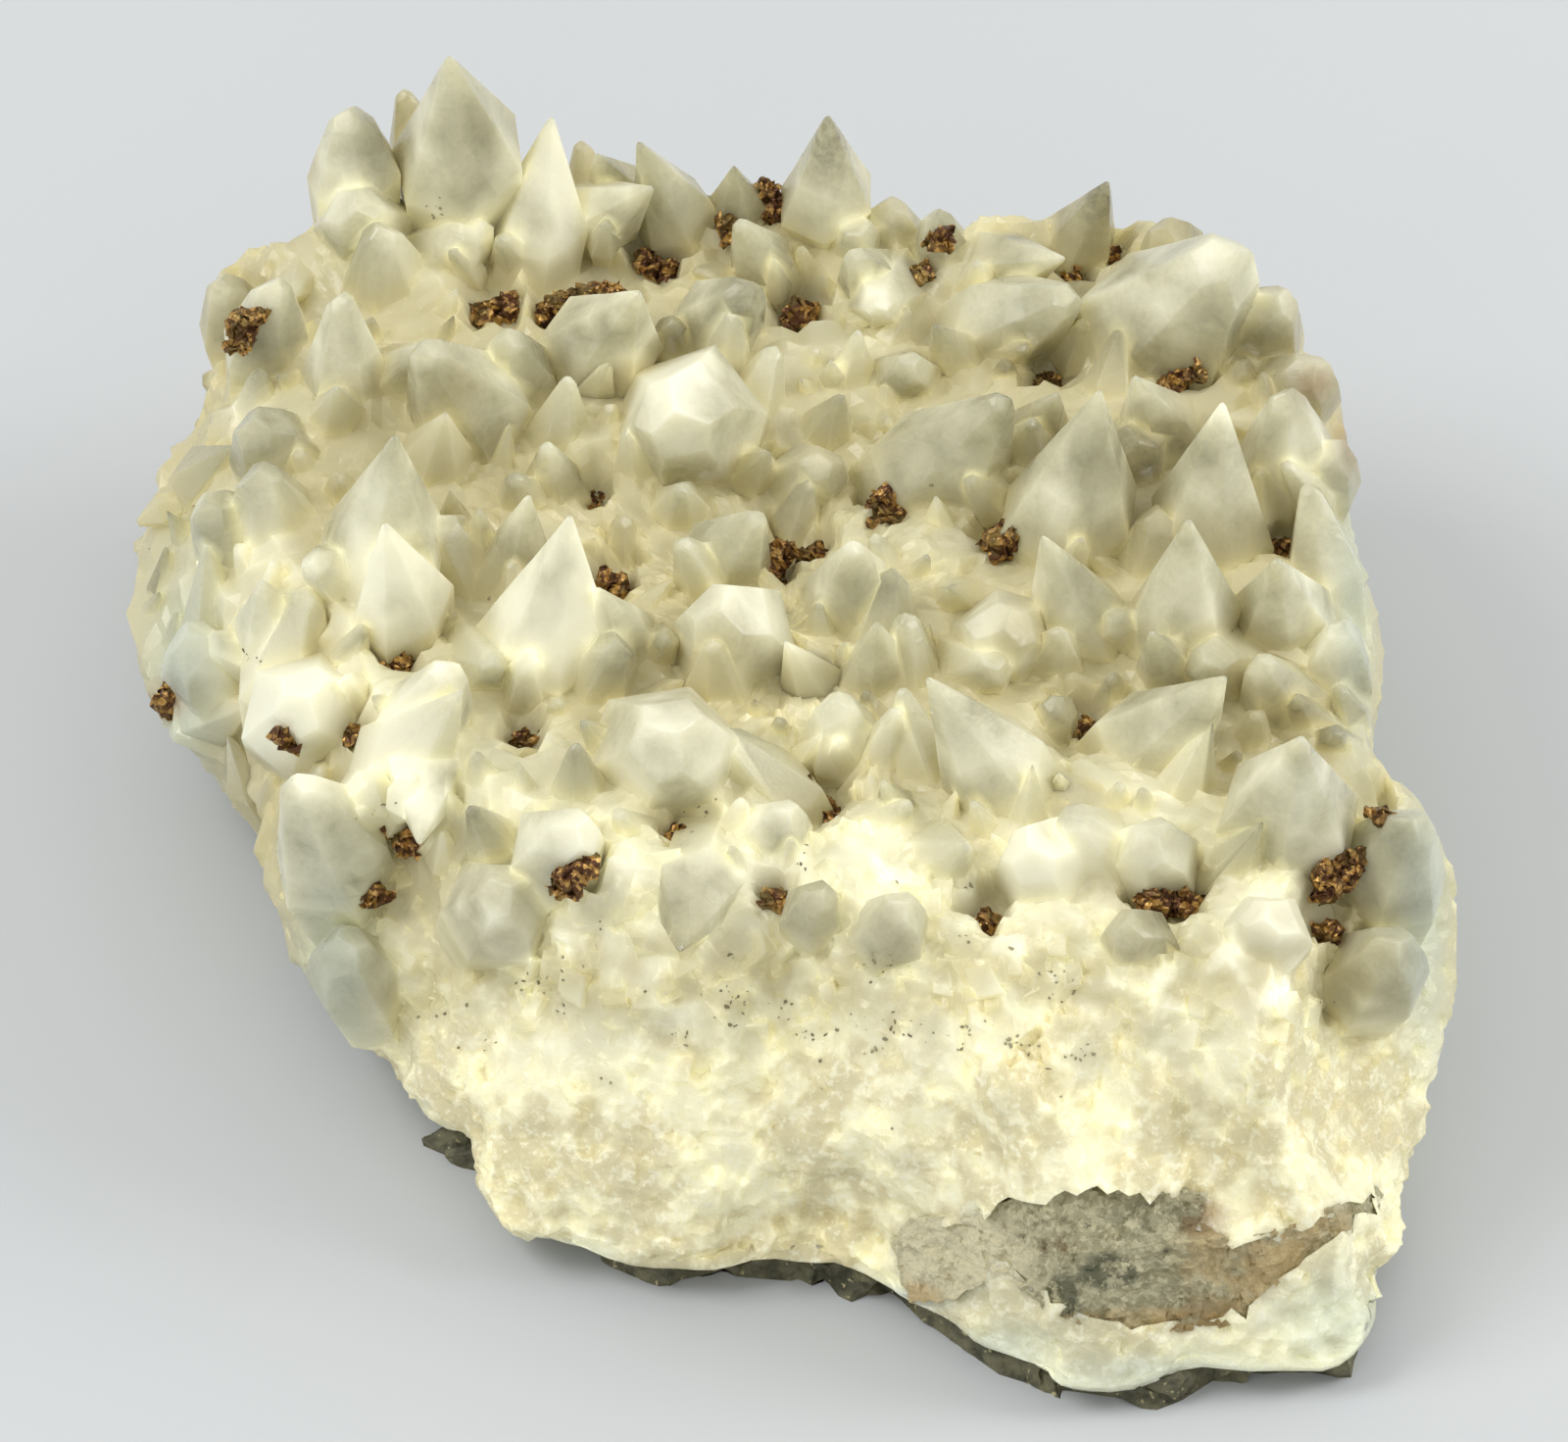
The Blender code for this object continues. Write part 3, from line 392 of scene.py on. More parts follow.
# Crystals that stand out one by one, each: tip across and up, belt across and up, width, twist,
# share of the tip that blunt faces take off, how milky it is, how far one sees into its tip.
namedCrystals = {
    "backRow": [
        (-33.9, 67.5, -33.0, 57.0, 14.0, 4, 0.0, 0.55, 0.1),
        (-38.8, 64.2, -37.0, 58.5, 6.5, 0, 0.2, 0.5, 0.1),
        (-44.1, 62.2, -43.8, 55.5, 10.0, 10, 0.35, 0.45, 0.2),
        (-43.4, 51.8, -42.8, 50.4, 11.0, 15, 0.4, 0.62, 0),
        (-30.2, 50.6, -34.6, 47.2, 9.0, 0, 0.35, 0.62, 0),
        (-23.5, 61.9, -25.3, 50.0, 10.5, 20, 0.0, 0.6, 0.05),
        (-20.7, 59.1, -20.2, 55.0, 4.5, 10, 0.3, 0.5, 0.2),
        (-13.0, 54.2, -18.8, 51.5, 9.0, 0, 0.0, 0.55, 0.05),
        (-15.0, 59.1, -11.4, 51.5, 9.0, 5, 0.0, 0.45, 0.1),
        (-19.2, 57.8, -17.2, 53.5, 7.0, 0, 0.0, 0.4, 0.1),
        (-5.1, 56.6, -4.3, 51.5, 7.5, 12, 0.0, 0.15, 0.35),
        (-4.7, 50.6, -2.2, 46.0, 8.0, -8, 0.15, 0.35, 0.3), (4.4, 61.7, 4.3, 53.0, 10.4, 0, 0.0, 0.5, 0.62),
        (10.4, 52.9, 11.3, 49.0, 7.5, 0, 0.4, 0.4, 0.15),
        (15.4, 51.5, 15.8, 47.8, 7.0, 10, 0.35, 0.4, 0.15),
        (33.0, 55.0, 30.0, 49.0, 8.0, 8, 0.0, 0.45, 0.7), (28.8, 46.9, 22.5, 46.4, 8.0, 0, 0.0, 0.4, 0.1),
        (38.6, 50.3, 39.2, 46.8, 8.5, 0, 0.4, 0.5, 0.05), (45.6, 47.4, 38.8, 40.3, 18.5, 0, 0.3, 0.46, 0),
        (50.0, 43.0, 48.0, 38.5, 11.0, 10, 0.35, 0.5, 0),
        (-57.2, 45.0, -56.0, 40.5, 8.0, 0, 0.35, 0.55, 0.05),
        (-51.4, 44.5, -51.8, 37.5, 11.0, 12, 0.3, 0.5, 0.05),
    ],
    "leftBed": [
        (-44.5, 43.2, -43.6, 34.0, 11.0, 14, 0.2, 0.5, 0.15),
        (-28.0, 38.8, -27.5, 34.2, 10.0, 10, 0.25, 0.35, 0.05),
        (-36.5, 37.4, -32.0, 30.8, 14.5, -6, 0.2, 0.42, 0),
        (-38.8, 28.9, -40.4, 17.3, 14.5, -5, 0.0, 0.5, 0),
        (-39.9, 20.1, -38.8, 11.2, 11.3, -18, 0.0, 0.95, 0),
        (-33.6, 23.3, -33.2, 19.0, 5.0, 0, 0.0, 0.4, 0.1),
        (-30.5, 21.6, -30.4, 16.0, 6.5, 10, 0.0, 0.62, 0), (-25.5, 23.0, -27.5, 15.0, 9.0, 5, 0.0, 0.5, 0),
        (-21.2, 20.9, -23.8, 8.5, 14.0, 22, 0.0, 0.78, 0),
        (-23.9, 27.9, -22.8, 23.5, 7.5, 0, 0.15, 0.45, 0), (-18.8, 13.6, -16.2, 7.5, 9.5, 0, 0.0, 0.45, 0),
        (-25.6, 6.4, -25.2, 3.6, 7.5, 15, 0.25, 0.7, 0), (-52.4, 14.3, -51.6, 9.6, 8.0, 10, 0.0, 0.65, 0),
        (-47.4, 2.4, -47.8, 0.6, 14.5, 0, 0.42, 0.95, 0),
        (-41.6, -6.3, -41.2, -7.2, 7.5, 12, 0.42, 0.95, 0), (-33.2, 5.6, -35.8, 0.6, 10.0, 0, 0.3, 0.6, 0),
        (-36.3, -12.6, -35.4, -5.6, 9.0, 6, 0.0, 0.62, 0),
        (-49.0, -6.0, -45.2, -12.8, 13.5, -10, 0.2, 0.5, 0.05),
        (-44.5, -21.5, -42.5, -25.5, 11.0, 4, 0.4, 0.5, 0),
        (-58.5, 22.0, -56.0, 18.5, 9.0, 8, 0.4, 0.45, 0.05),
        (-53.5, 30.5, -51.5, 26.5, 10.0, 0, 0.4, 0.35, 0.05),
        (-60.0, 9.0, -58.0, 5.5, 9.5, 16, 0.4, 0.62, 0),
    ],
    "middleBed": [
        (-14.4, 43.4, -18.6, 38.0, 12.5, 2, 0.0, 0.5, 0), (-11.0, 31.2, -9.8, 29.2, 17.5, 10, 0.4, 0.62, 0),
        (6.8, 47.2, 9.0, 43.8, 9.0, 0, 0.2, 0.32, 0.1), (9.4, 41.8, 10.6, 43.0, 10.5, 25, 0.2, 0.62, 0),
        (-3.0, 43.6, -7.0, 39.5, 11.0, 8, 0.3, 0.3, 0.1), (4.7, 36.6, 5.0, 33.4, 5.0, 15, 0.0, 0.45, 0.15),
        (29.5, 42.8, 22.3, 39.2, 13.0, -10, 0.2, 0.5, 0.05),
        (13.0, 36.0, 12.0, 34.0, 9.0, 14, 0.3, 0.4, 0.1),
        (22.3, 32.4, 15.3, 25.8, 14.0, 4, 0.15, 0.4, 0.05),
        (5.0, 26.0, 2.2, 23.4, 9.5, 0, 0.35, 0.58, 0.05),
        (-2.4, 20.6, -6.0, 15.2, 11.0, 10, 0.15, 0.4, 0.05),
        (6.8, 17.5, 6.2, 12.4, 10.5, 18, 0.15, 0.52, 0.05), (9.3, 10.1, 8.9, 4.8, 8.0, 0, 0.0, 0.55, 0),
        (14.6, 9.9, 13.9, 6.3, 4.0, 0, 0.0, 0.5, 0.05), (-6.4, 11.2, -5.4, 7.6, 14.5, 0, 0.42, 0.75, 0),
        (-10.6, -1.2, -12.0, -3.8, 17.0, 8, 0.42, 0.7, 0), (5.2, 2.2, 6.2, -2.4, 9.5, 12, 0.3, 0.65, 0),
        (11.2, 1.2, 10.6, -3.6, 7.5, 0, 0.15, 0.6, 0), (9.7, -5.8, 11.4, -9.6, 5.8, 10, 0.0, 0.5, 0.05),
        (13.9, 4.7, 20.8, -5.2, 12.5, 12, 0.0, 0.5, 0), (-10.4, -23.0, -8.6, -17.0, 10.0, 0, 0.0, 0.55, 0),
        (3.6, -17.0, 3.2, -19.2, 7.5, 0, 0.4, 0.42, 0.1),
        (-20.5, -10.5, -22.0, -13.5, 11.0, 12, 0.4, 0.7, 0),
        (-27.0, -16.5, -28.5, -19.0, 12.0, 0, 0.42, 0.6, 0),
        (0.5, -9.0, -1.5, -11.5, 9.0, 20, 0.35, 0.65, 0), (12.0, -18.0, 10.5, -21.0, 9.0, 6, 0.4, 0.5, 0),
    ],
    "rightBed": [
        (53.6, 35.8, 51.3, 32.6, 10.0, 0, 0.4, 0.55, 0), (31.7, 33.5, 28.6, 21.0, 14.5, 4, 0.0, 0.5, 0),
        (27.7, 33.2, 25.0, 28.6, 8.0, 0, 0.0, 0.45, 0.05), (35.0, 34.9, 37.6, 28.6, 10.0, -6, 0.0, 0.5, 0),
        (44.0, 32.4, 43.1, 20.0, 12.6, 14, 0.0, 0.55, 0),
        (50.5, 33.0, 50.3, 25.5, 12.0, 6, 0.25, 0.45, 0.05), (55.4, 28.2, 53.6, 23.5, 9.0, 0, 0.4, 0.55, 0),
        (49.2, 16.4, 50.2, 10.2, 11.0, 0, 0.0, 0.55, 0), (40.4, 20.5, 39.6, 9.6, 12.5, -14, 0.0, 0.5, 0),
        (36.5, 9.0, 38.4, 4.6, 8.0, 0, 0.0, 0.5, 0), (25.6, 18.9, 29.8, 10.2, 11.0, 8, 0.0, 0.45, 0.05),
        (22.0, 9.2, 22.8, 7.6, 13.0, -12, 0.4, 0.72, 0), (52.6, 24.0, 54.0, 15.0, 8.5, 0, 0.2, 0.5, 0),
        (56.0, 10.0, 54.6, 4.0, 9.0, 12, 0.3, 0.55, 0), (28.0, 2.4, 26.4, -0.4, 6.0, 0, 0.42, 0.5, 0),
        (44.2, 4.7, 37.2, -1.8, 12.5, 0, 0.0, 0.5, 0), (47.4, 6.0, 50.0, 1.8, 9.5, 10, 0.25, 0.5, 0),
        (51.2, -1.4, 50.6, -9.2, 15.0, -6, 0.0, 0.6, 0.05),
        (24.2, -12.4, 25.8, -15.2, 12.0, 8, 0.42, 0.9, 0),
        (62.6, -9.8, 60.8, -15.4, 13.0, 0, 0.35, 0.5, 0.05),
        (47.5, -19.5, 47.5, -21.5, 10.0, 20, 0.42, 0.95, 0),
        (37.0, -11.5, 36.5, -14.0, 10.5, 0, 0.42, 0.6, 0),
        (61.0, -22.0, 58.5, -25.5, 12.0, 10, 0.42, 0.6, 0),
        (34.0, -20.0, 35.0, -22.5, 9.0, 0, 0.42, 0.25, 0.1),
    ],
}


def dogtooth(length, width, cap, segments, skewSeed, foot, taper):
    # a scalenohedron's tip over a stout foot, blunted by three faces, its edges rounded
    shape = bmesh.new()
    full = length / (1.0 - cap)
    radius = width / 2
    deep = length * foot
    upper = Matrix.Translation((0.0, 0.0, full / 2))
    bmesh.ops.create_cone(
        shape, cap_ends=False, segments=6, radius1=radius, radius2=0.0, depth=full, matrix=upper,
    )
    lower = Matrix.Translation((0.0, 0.0, -deep / 2))
    narrow = radius * taper
    bmesh.ops.create_cone(
        shape, cap_ends=True, segments=6, radius1=narrow, radius2=radius, depth=deep, matrix=lower,
    )
    lids = [face for face in shape.faces if len(face.verts) == 6 and face.calc_center_median().z > -deep / 2]
    bmesh.ops.delete(shape, geom=lids, context="FACES_ONLY")
    bmesh.ops.remove_doubles(shape, verts=shape.verts, dist=0.001)
    for vert in shape.verts:
        if math.hypot(vert.co.x, vert.co.y) > radius / 2:
            sixth = round(math.atan2(vert.co.y, vert.co.x) / (math.pi / 3))
            stray = 1 + crystals["skew"] * noise.noise(Vector((sixth * 3.3, skewSeed, 0.5))) * 2
            vert.co.x *= stray
            vert.co.y *= stray
            vert.co.z += crystals["zigzag"] * radius * (1 if sixth % 2 else -1)
    if cap > 0:
        for third in range(3):
            around = Matrix.Rotation(third * 2 * math.pi / 3, 3, "Z")
            facing = around @ Vector((math.sin(crystals["capSlope"]), 0.0, math.cos(crystals["capSlope"])))
            whole = list(shape.verts) + list(shape.edges) + list(shape.faces)
            bmesh.ops.bisect_plane(
                shape, geom=whole, plane_co=(0, 0, length), plane_no=facing, clear_outer=True,
            )
            bmesh.ops.holes_fill(shape, edges=shape.edges)
    shape.normal_update()
    rounding = min(crystals["mostBevel"], crystals["bevel"] * width)
    sharp = [
        edge for edge in shape.edges
        if edge.calc_face_angle(0.0) > crystals["leastFold"]
        and min(vert.co.z for vert in edge.verts) > -crystals["roundedTo"] * deep
    ]
    rounded(shape, sharp, rounding, segments)
    return shape


def isInside(skin, place):
    middle = Vector((*vein["middle"], vein["heart"]))
    return skin.ray_cast(place, (middle - place).normalized(), (middle - place).length)[0] is None


def footFor(seat, belt, axis, length, taper):
    # how tall the foot is and how far it narrows: one that no vein hides ends in a point of its own
    for foot in crystals["footHeights"]:
        if isInside(seat, belt - axis.normalized() * length * (foot + crystals["footMargin"])):
            return foot, taper
    return crystals["freeFoot"]


def uprightAlong(axis):
    # turns a crystal's own Z along the axis, with its own -Y as near the sight line as it goes
    side = axis.cross(towardWay)
    side = side.normalized() if side.length > 0.05 * axis.length else acrossWay
    tall = axis.normalized()
    return Matrix((side, tall.cross(side), tall)).transposed().to_4x4()


def marked(shape, milk, clear, tipLength=None):
    # what the finish reads: how milky a face is, how clear, and how near the tip a point lies
    milky = shape.faces.layers.float.new("milk")
    glassy = shape.faces.layers.float.new("clear")
    tipward = shape.verts.layers.float.new("tipward")
    for face in shape.faces:
        face[milky] = milk
        face[glassy] = clear
    if tipLength:
        for vert in shape.verts:
            vert[tipward] = held(vert.co.z / tipLength)
    return shape


def unevened(shape):
    shape.normal_update()
    movedBy(shape, [
        vert.normal * sum(lift * noise.noise(vert.co / size) for size, lift in crystals["uneven"])
        for vert in shape.verts
    ])


def namedCrystal(row, seat):
    tip, belt = Vector(row[0:2]), Vector(row[2:4])
    width, twist, cap, milk, clear = row[4:9]
    along = tip - belt
    length = max(crystals["tipHeight"] * width * (1 - cap), along.length / math.cos(crystals["leastLean"]))
    rise = math.sqrt(length**2 - along.length**2)
    share = crystals["buried"]
    depth = sightDepth(seat, *(belt - along * share))
    while depth is None:
        share += crystals["buriedStep"]
        depth = sightDepth(seat, *(belt - along * share))
    middle, axis = sheetPoint(*belt, depth + rise * share), sheetPoint(*along, rise)
    foot = footFor(seat, middle, axis, length, crystals["footTaper"])
    shape = marked(dogtooth(length, width, cap, 2, tip.x, *foot), milk, clear, length)
    cutTo(shape, crystals["edge"])
    place = Matrix.Translation(middle) @ uprightAlong(axis)
    bmesh.ops.transform(shape, matrix=place @ Matrix.Rotation(math.radians(twist), 4, "Z"), verts=shape.verts)
    unevened(shape)
    return pieceFrom(shape, "crystal")


# Young crystals fill the bed between the large ones and the upper sides.
youngCrystals = {
    "seed": 7,
    "tries": 14000,
    "area": ((-64, 64), (-31, 60)),     # of the sheet that is tried, across and up
    "largeFor": 0.8,        # share of the tries in which the width shrinks to the least
    "host": (0, -0.15, 1),  # way in which those on the bed grow
    "onSides": 150,
    "sideHeights": (12, 36),
    "sideLean": (0.8, 0.9),     # outwards and upwards
    "sidesFrom": 17.0,      # up the sheet
    "footTaper": 0.55,      # how far the foot narrows
    "inside": 0.75,         # of the width, kept inside the vein's outline
    "width": (4.2, 17.0),   # of those on the bed
    "widthVaries": (0.6, 1.0),
    "spacing": 0.29,        # least distance of two, per width
    "rise": (1.0, 9.0),     # how high on a large crystal one may sit
    "cap": (0.0, 0.3),
    "tilt": 0.3,            # of the axis away from its host's, as a tangent
    "sunk": 0.5,            # of the length, below the surface it grows on
    "sideSunk": 0.8,
    "sideWidth": (3.6, 8.5, 5.5),
    "clearOfGrains": 0.2,   # space left round a sulphide grain
    "milk": (0.15, 0.75),
}


def grainSpots():
    # the sulphide grains on the sheet, from their solids: across, up and half the width
    spots = []
    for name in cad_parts:
        if name.startswith("chalcopyrite"):
            low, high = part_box(name)
            middle = (low + high) / 2 / mm + sheet["foot"]
            spots.append((*onSheet(middle), (high - low).x / 2 / mm))
    return spots


def clearOf(spots, across, up, reach):
    return all(math.hypot(across - spot[0], up - spot[1]) > spot[2] + reach for spot in spots)


def youngCrystal(draw, seat, place, width, host, sunk, milk):
    cap = draw.uniform(*youngCrystals["cap"])
    length = crystals["tipHeight"] * width * (1 - cap)
    tilt = Vector((draw.gauss(0, 1), draw.gauss(0, 1), draw.gauss(0, 1))) * youngCrystals["tilt"]
    axis = (host + tilt).normalized()
    foot = footFor(seat, place - axis * length * sunk, axis, length, youngCrystals["footTaper"])
    shape = marked(dogtooth(length, width, cap, 1, place.x, *foot), milk, 0.0, length)
    bmesh.ops.triangulate(shape, faces=shape.faces)
    seatPlace = Matrix.Translation(place - axis * length * sunk) @ uprightAlong(axis)
    turn = Matrix.Rotation(draw.uniform(0, math.pi), 4, "Z")
    bmesh.ops.transform(shape, matrix=seatPlace @ turn, verts=shape.verts)
    unevened(shape)
    return pieceFrom(shape, "young crystal")


def youngOnBed(seat, grown, spots):
    # spread over the bed and low on the large crystals, where the sight line finds them
    draw = random.Random(youngCrystals["seed"])
    made, taken = [], []
    for attempt in range(youngCrystals["tries"]):
        across, up = [draw.uniform(*reach) for reach in youngCrystals["area"]]
        # large ones first, then what fits between them
        size = 1 - ramp(attempt / youngCrystals["tries"], 0.0, youngCrystals["largeFor"])
        least, most = youngCrystals["width"]
        width = least + (most - least) * size * draw.uniform(*youngCrystals["widthVaries"])
        rise = draw.uniform(*youngCrystals["rise"])
        draw.random()       # keeps the order of the draws
        depth = sightDepth(grown, across, up)
        bed = sightDepth(seat, across, up)
        if depth is None or bed is None or onFront(sheetPoint(across, up, bed)) or depth - bed > rise:
            continue
        if not clearOf(spots, across, up, width * 0.5 + youngCrystals["clearOfGrains"]):
            continue
        if not clearOf(taken, across, up, width * youngCrystals["spacing"]):
            continue
        reach = width * youngCrystals["inside"]
        around = ((-reach, 0), (reach, 0), (0, -reach))
        if None in [sightDepth(seat, across + a, up + b) for a, b in around]:
            continue
        taken.append((across, up, width * youngCrystals["spacing"]))
        milk = draw.uniform(*youngCrystals["milk"])
        place = sheetPoint(across, up, depth)
        host = Vector(youngCrystals["host"])
        made.append(youngCrystal(draw, seat, place, width, host, youngCrystals["sunk"], milk))
    return made


def youngOnSides(seat):
    # on the upper sides and the back, leaning out
    draw = random.Random(youngCrystals["seed"] + 1)
    made = []
    while len(made) < youngCrystals["onSides"]:
        middle, outward = wayOut(draw, youngCrystals["sideHeights"])
        hit, normal = seat.ray_cast(middle + outward * sheet["far"], -outward)[:2]
        if hit is None or onFront(hit) or hit.dot(upWay) < youngCrystals["sidesFrom"]:
            continue
        milk = draw.uniform(*youngCrystals["milk"])
        width = draw.triangular(*youngCrystals["sideWidth"])
        outwards, upwards = youngCrystals["sideLean"]
        host = (normal * outwards + Vector((0, 0, upwards))).normalized()
        made.append(youngCrystal(draw, seat, hit, width, host, youngCrystals["sideSunk"], milk))
    return made


# Cleavage blocks where the vein is broken: groups of parallel small blocks.
blocks = {
    "seed": 23,
    "count": 420,
    "width": (1.0, 3.6),
    "sides": ((0.6, 1.3), (0.5, 0.9)),      # the other two, per width
    "milk": (0.3, 0.8),
    "heights": (5, 36),     # up the vein's middle, where those off the band start
    "overFoot": 1.5,        # height over the underside from which they lie
    "clearOfGrains": 1.5,   # space left round a sulphide grain
    "back": -10,            # y behind which that space isn't kept
    "shear": 0.27,          # of a calcite cleavage block
    "sunk": 0.5,
    "group": 4.5,           # size of an area whose blocks lie parallel
    "bevel": 0.12,
    "onBand": 0.55,         # share that lies on the broken band in view
    "band": ((-55, 64), (-25, 6)),      # its reach across; its middle and spread up the sheet
    "below": (-34, 0.85),   # the level on the front under which this share is left out
}


def cleavageBlock(draw, place, normal, milk):
    width = draw.uniform(*blocks["width"])
    shape = bmesh.new()
    bmesh.ops.create_cube(shape, size=1.0)
    lean = Matrix.Identity(4)
    lean[0][2] = blocks["shear"]
    lean[1][2] = blocks["shear"]
    lean[0][1] = blocks["shear"]
    others = [width * draw.uniform(*side) for side in blocks["sides"]]
    stretch = Matrix.Diagonal((width, *others, 1.0))
    cell = noise.cell_vector(place / blocks["group"]) * 6.28
    turn = Matrix.Rotation(cell.x, 4, "X") @ Matrix.Rotation(cell.y, 4, "Y") @ Matrix.Rotation(cell.z, 4, "Z")
    bmesh.ops.transform(shape, matrix=turn @ lean @ stretch, verts=shape.verts)
    rounded(shape, shape.edges, blocks["bevel"], 1)
    bmesh.ops.translate(shape, vec=place - normal * width * blocks["sunk"], verts=shape.verts)
    marked(shape, milk, 0.0)
    return pieceFrom(shape, "block")


def cleavageBlocks(seat, spots):
    draw = random.Random(blocks["seed"])
    made = []
    while len(made) < blocks["count"]:
        middle, outward = wayOut(draw, blocks["heights"])
        if draw.random() < blocks["onBand"]:
            across, up = draw.uniform(*blocks["band"][0]), draw.gauss(*blocks["band"][1])
            hit, normal = seenAt(seat, across, up)
        else:
            hit, normal = seat.ray_cast(middle + outward * sheet["far"], -outward)[:2]
        if hit is None or hit.z < vein["underside"] + blocks["overFoot"]:
            continue
        across, up = onSheet(hit)
        if hit.y < blocks["back"] and not clearOf(spots, across, up, blocks["clearOfGrains"]):
            continue
        if onFront(hit) and up < blocks["below"][0] and draw.random() < blocks["below"][1]:
            continue
        made.append(cleavageBlock(draw, hit, normal, draw.uniform(*blocks["milk"])))
    return made


# The pocket in which the lens of rock lies

lens = {
    "depth": 4.9,
    "overlap": 0.8,         # of the calcite over the rock's edge
    "ragged": (1.52, 1.3),  # by how much the edge strays, and over what size
    "step": 1.1,            # between the points of the ragged outline
    "outline": [
        (10.8, -52.0), (12.6, -49.6), (19.0, -48.6), (24.5, -46.4), (31.0, -45.6), (37.5, -46.2),
        (42.0, -46.8), (41.2, -49.6), (44.5, -51.6), (50.0, -50.2), (56.0, -47.4), (59.6, -46.2),
        (59.2, -49.2), (54.0, -52.4), (49.6, -56.0), (46.0, -59.6), (39.0, -60.6), (31.0, -60.2),
        (26.0, -58.4), (22.0, -54.6), (17.0, -57.4), (12.6, -57.8),
    ],
}


def lensPocket(seat):
    outline = []
    for start, end in zip(lens["outline"], lens["outline"][1:] + lens["outline"][:1]):
        parts = max(1, round((Vector(end) - Vector(start)).length / lens["step"]))
        outline += [Vector(start).lerp(Vector(end), part / parts) for part in range(parts)]
    shape = bmesh.new()
    corners = []
    ragged, size = lens["ragged"]
    for index, point in enumerate(outline):
        along = (outline[(index + 2) % len(outline)] - outline[index - 2]).normalized()
        stray = ragged * noise.noise(Vector((*point, 0.0)) / size)
        place = point - Vector((-along.y, along.x)) * (lens["overlap"] + stray)
        corners.append(shape.verts.new(sheetPoint(*place)))
    face = shape.faces.new(corners)
    made = bmesh.ops.extrude_face_region(shape, geom=[face])
    front = [item for item in made["geom"] if isinstance(item, bmesh.types.BMVert)]
    bmesh.ops.translate(shape, vec=towardWay * sheet["far"], verts=front)
    for corner in corners:
        corner.co += towardWay * (sightDepth(seat, *onSheet(corner.co)) - lens["depth"])
    bmesh.ops.triangulate(shape, faces=shape.faces)
    return pieceFrom(shape, "pocket")


# Marks that the finish reads: white, broken or cloudy places, hollows darkened with painted shade, and rims
# with a backdrop's blue painted in (across, up, reach across, reach up)
marks = {
    "cell": 3.0,
    "glassiness": 0.5,              # of a crystal without any milk
    # painted shade: places that lie deep under the crystals around them are darkened, starting and full at
    # these depths
    "shadeAndGreyTint": (0.5, 8.0),           # depth under the crystals around, where its tint starts and is full
    "cloud": ((7.0, 0.5), (2.4, 0.28)),
    "band": (-25.5, 7.5, 0.9),      # where the vein is broken and greyer: up the sheet, reach, share
    "broken": (3.0, -0.55, 0.15),   # size of its patches, and the noise where they start and are full
    "front": (-27.0, -37.0),        # up the sheet, where the creamy vein starts
    "frontStray": (5, 6.0),         # by how much, and over what size, that strays
    "frontShare": (0.9, -38),       # of the cream, and the y before which it lies
    "warm": (-0.45, 0.6),           # noise where the tan tint starts and is full
    "warmSizes": ((9.0, 1.0), (2.6, 0.7)),
    "stained": 0.7,
    "milkTip": (0.0, 0.15),         # shares of a crystal's length between which it grows glassy
    "clearTip": (0.1, 0.8),         # and between which one sees into it
    "white": [
        (25.8, -15.3, 6.8, 4.3), (47.6, -21.0, 4.6, 4.4), (43.5, 31.7, 3.5, 1.4), (-14.5, 34.5, 6.0, 2.0),
        (-41.2, -6.0, 4.0, 3.0), (-47.5, 0.5, 7.0, 5.5), (-21.3, 56.0, 1.8, 6.5), (-42.5, 14.0, 2.0, 5.0),
        (-19.8, 13.5, 1.2, 6.0),
    ],
    # painted light: the blue of a backdrop, as if seen through thin rims, painted on as colour in these spots
    "backdropBlueShare": 0.55,
    "backdropBlue": [
        (10, -57.5, 10, 1.6), (22, -62.0, 8, 2.6), (37, -65.0, 16, 2.6), (56, -60, 8, 6.0),
        (57.5, 12, 2.2, 16), (-61, 4, 4, 12), (-45, -25, 4, 9), (64, -20, 3, 14), (-26, -53, 9, 1.6),
    ],
    # painted shade: these hollows of the bed are darkened as if shaded
    "paintedShadeSpots": [(5.0, 27.5, 7.0, 4.5), (-7.0, 5.5, 5.0, 3.5), (24.0, 9.0, 4.0, 4.0), (-33.0, 33.0, 3.0, 3.0)],
    "stains": [
        (-62.5, 2.0, 2.2, 1.6), (53.5, 34.0, 2.4, 2.0), (57.5, 28.0, 2.0, 3.0), (41.5, -49.0, 2.6, 1.6),
    ],
}


def envelope(places):
    # the level of the crystals around each place, as a grid on the sheet
    cell = marks["cell"]
    tops = {}
    for across, up, depth in places:
        key = (round(across / cell), round(up / cell))
        tops[key] = max(tops.get(key, depth), depth)
    levels = {}
    for column, row in tops:
        near = [tops.get((column + i, row + j)) for i in range(-2, 3) for j in range(-2, 3)]
        near = [top for top in near if top is not None]
        levels[(column, row)] = sum(near) / len(near)
    return levels


def levelAt(levels, across, up, depth):
    a, b = across / marks["cell"], up / marks["cell"]
    left, low = math.floor(a), math.floor(b)
    total = weight = 0.0
    for column, row in ((left, low), (left + 1, low), (left, low + 1), (left + 1, low + 1)):
        share = (1 - abs(a - column)) * (1 - abs(b - row))
        if (column, row) in levels:
            total += levels[(column, row)] * share
            weight += share
    return total / weight if weight > 0 else depth


def inSpots(spots, across, up):
    return max(math.exp(-((across - a) / ra) ** 2 - ((up - b) / rb) ** 2) for a, b, ra, rb in spots)


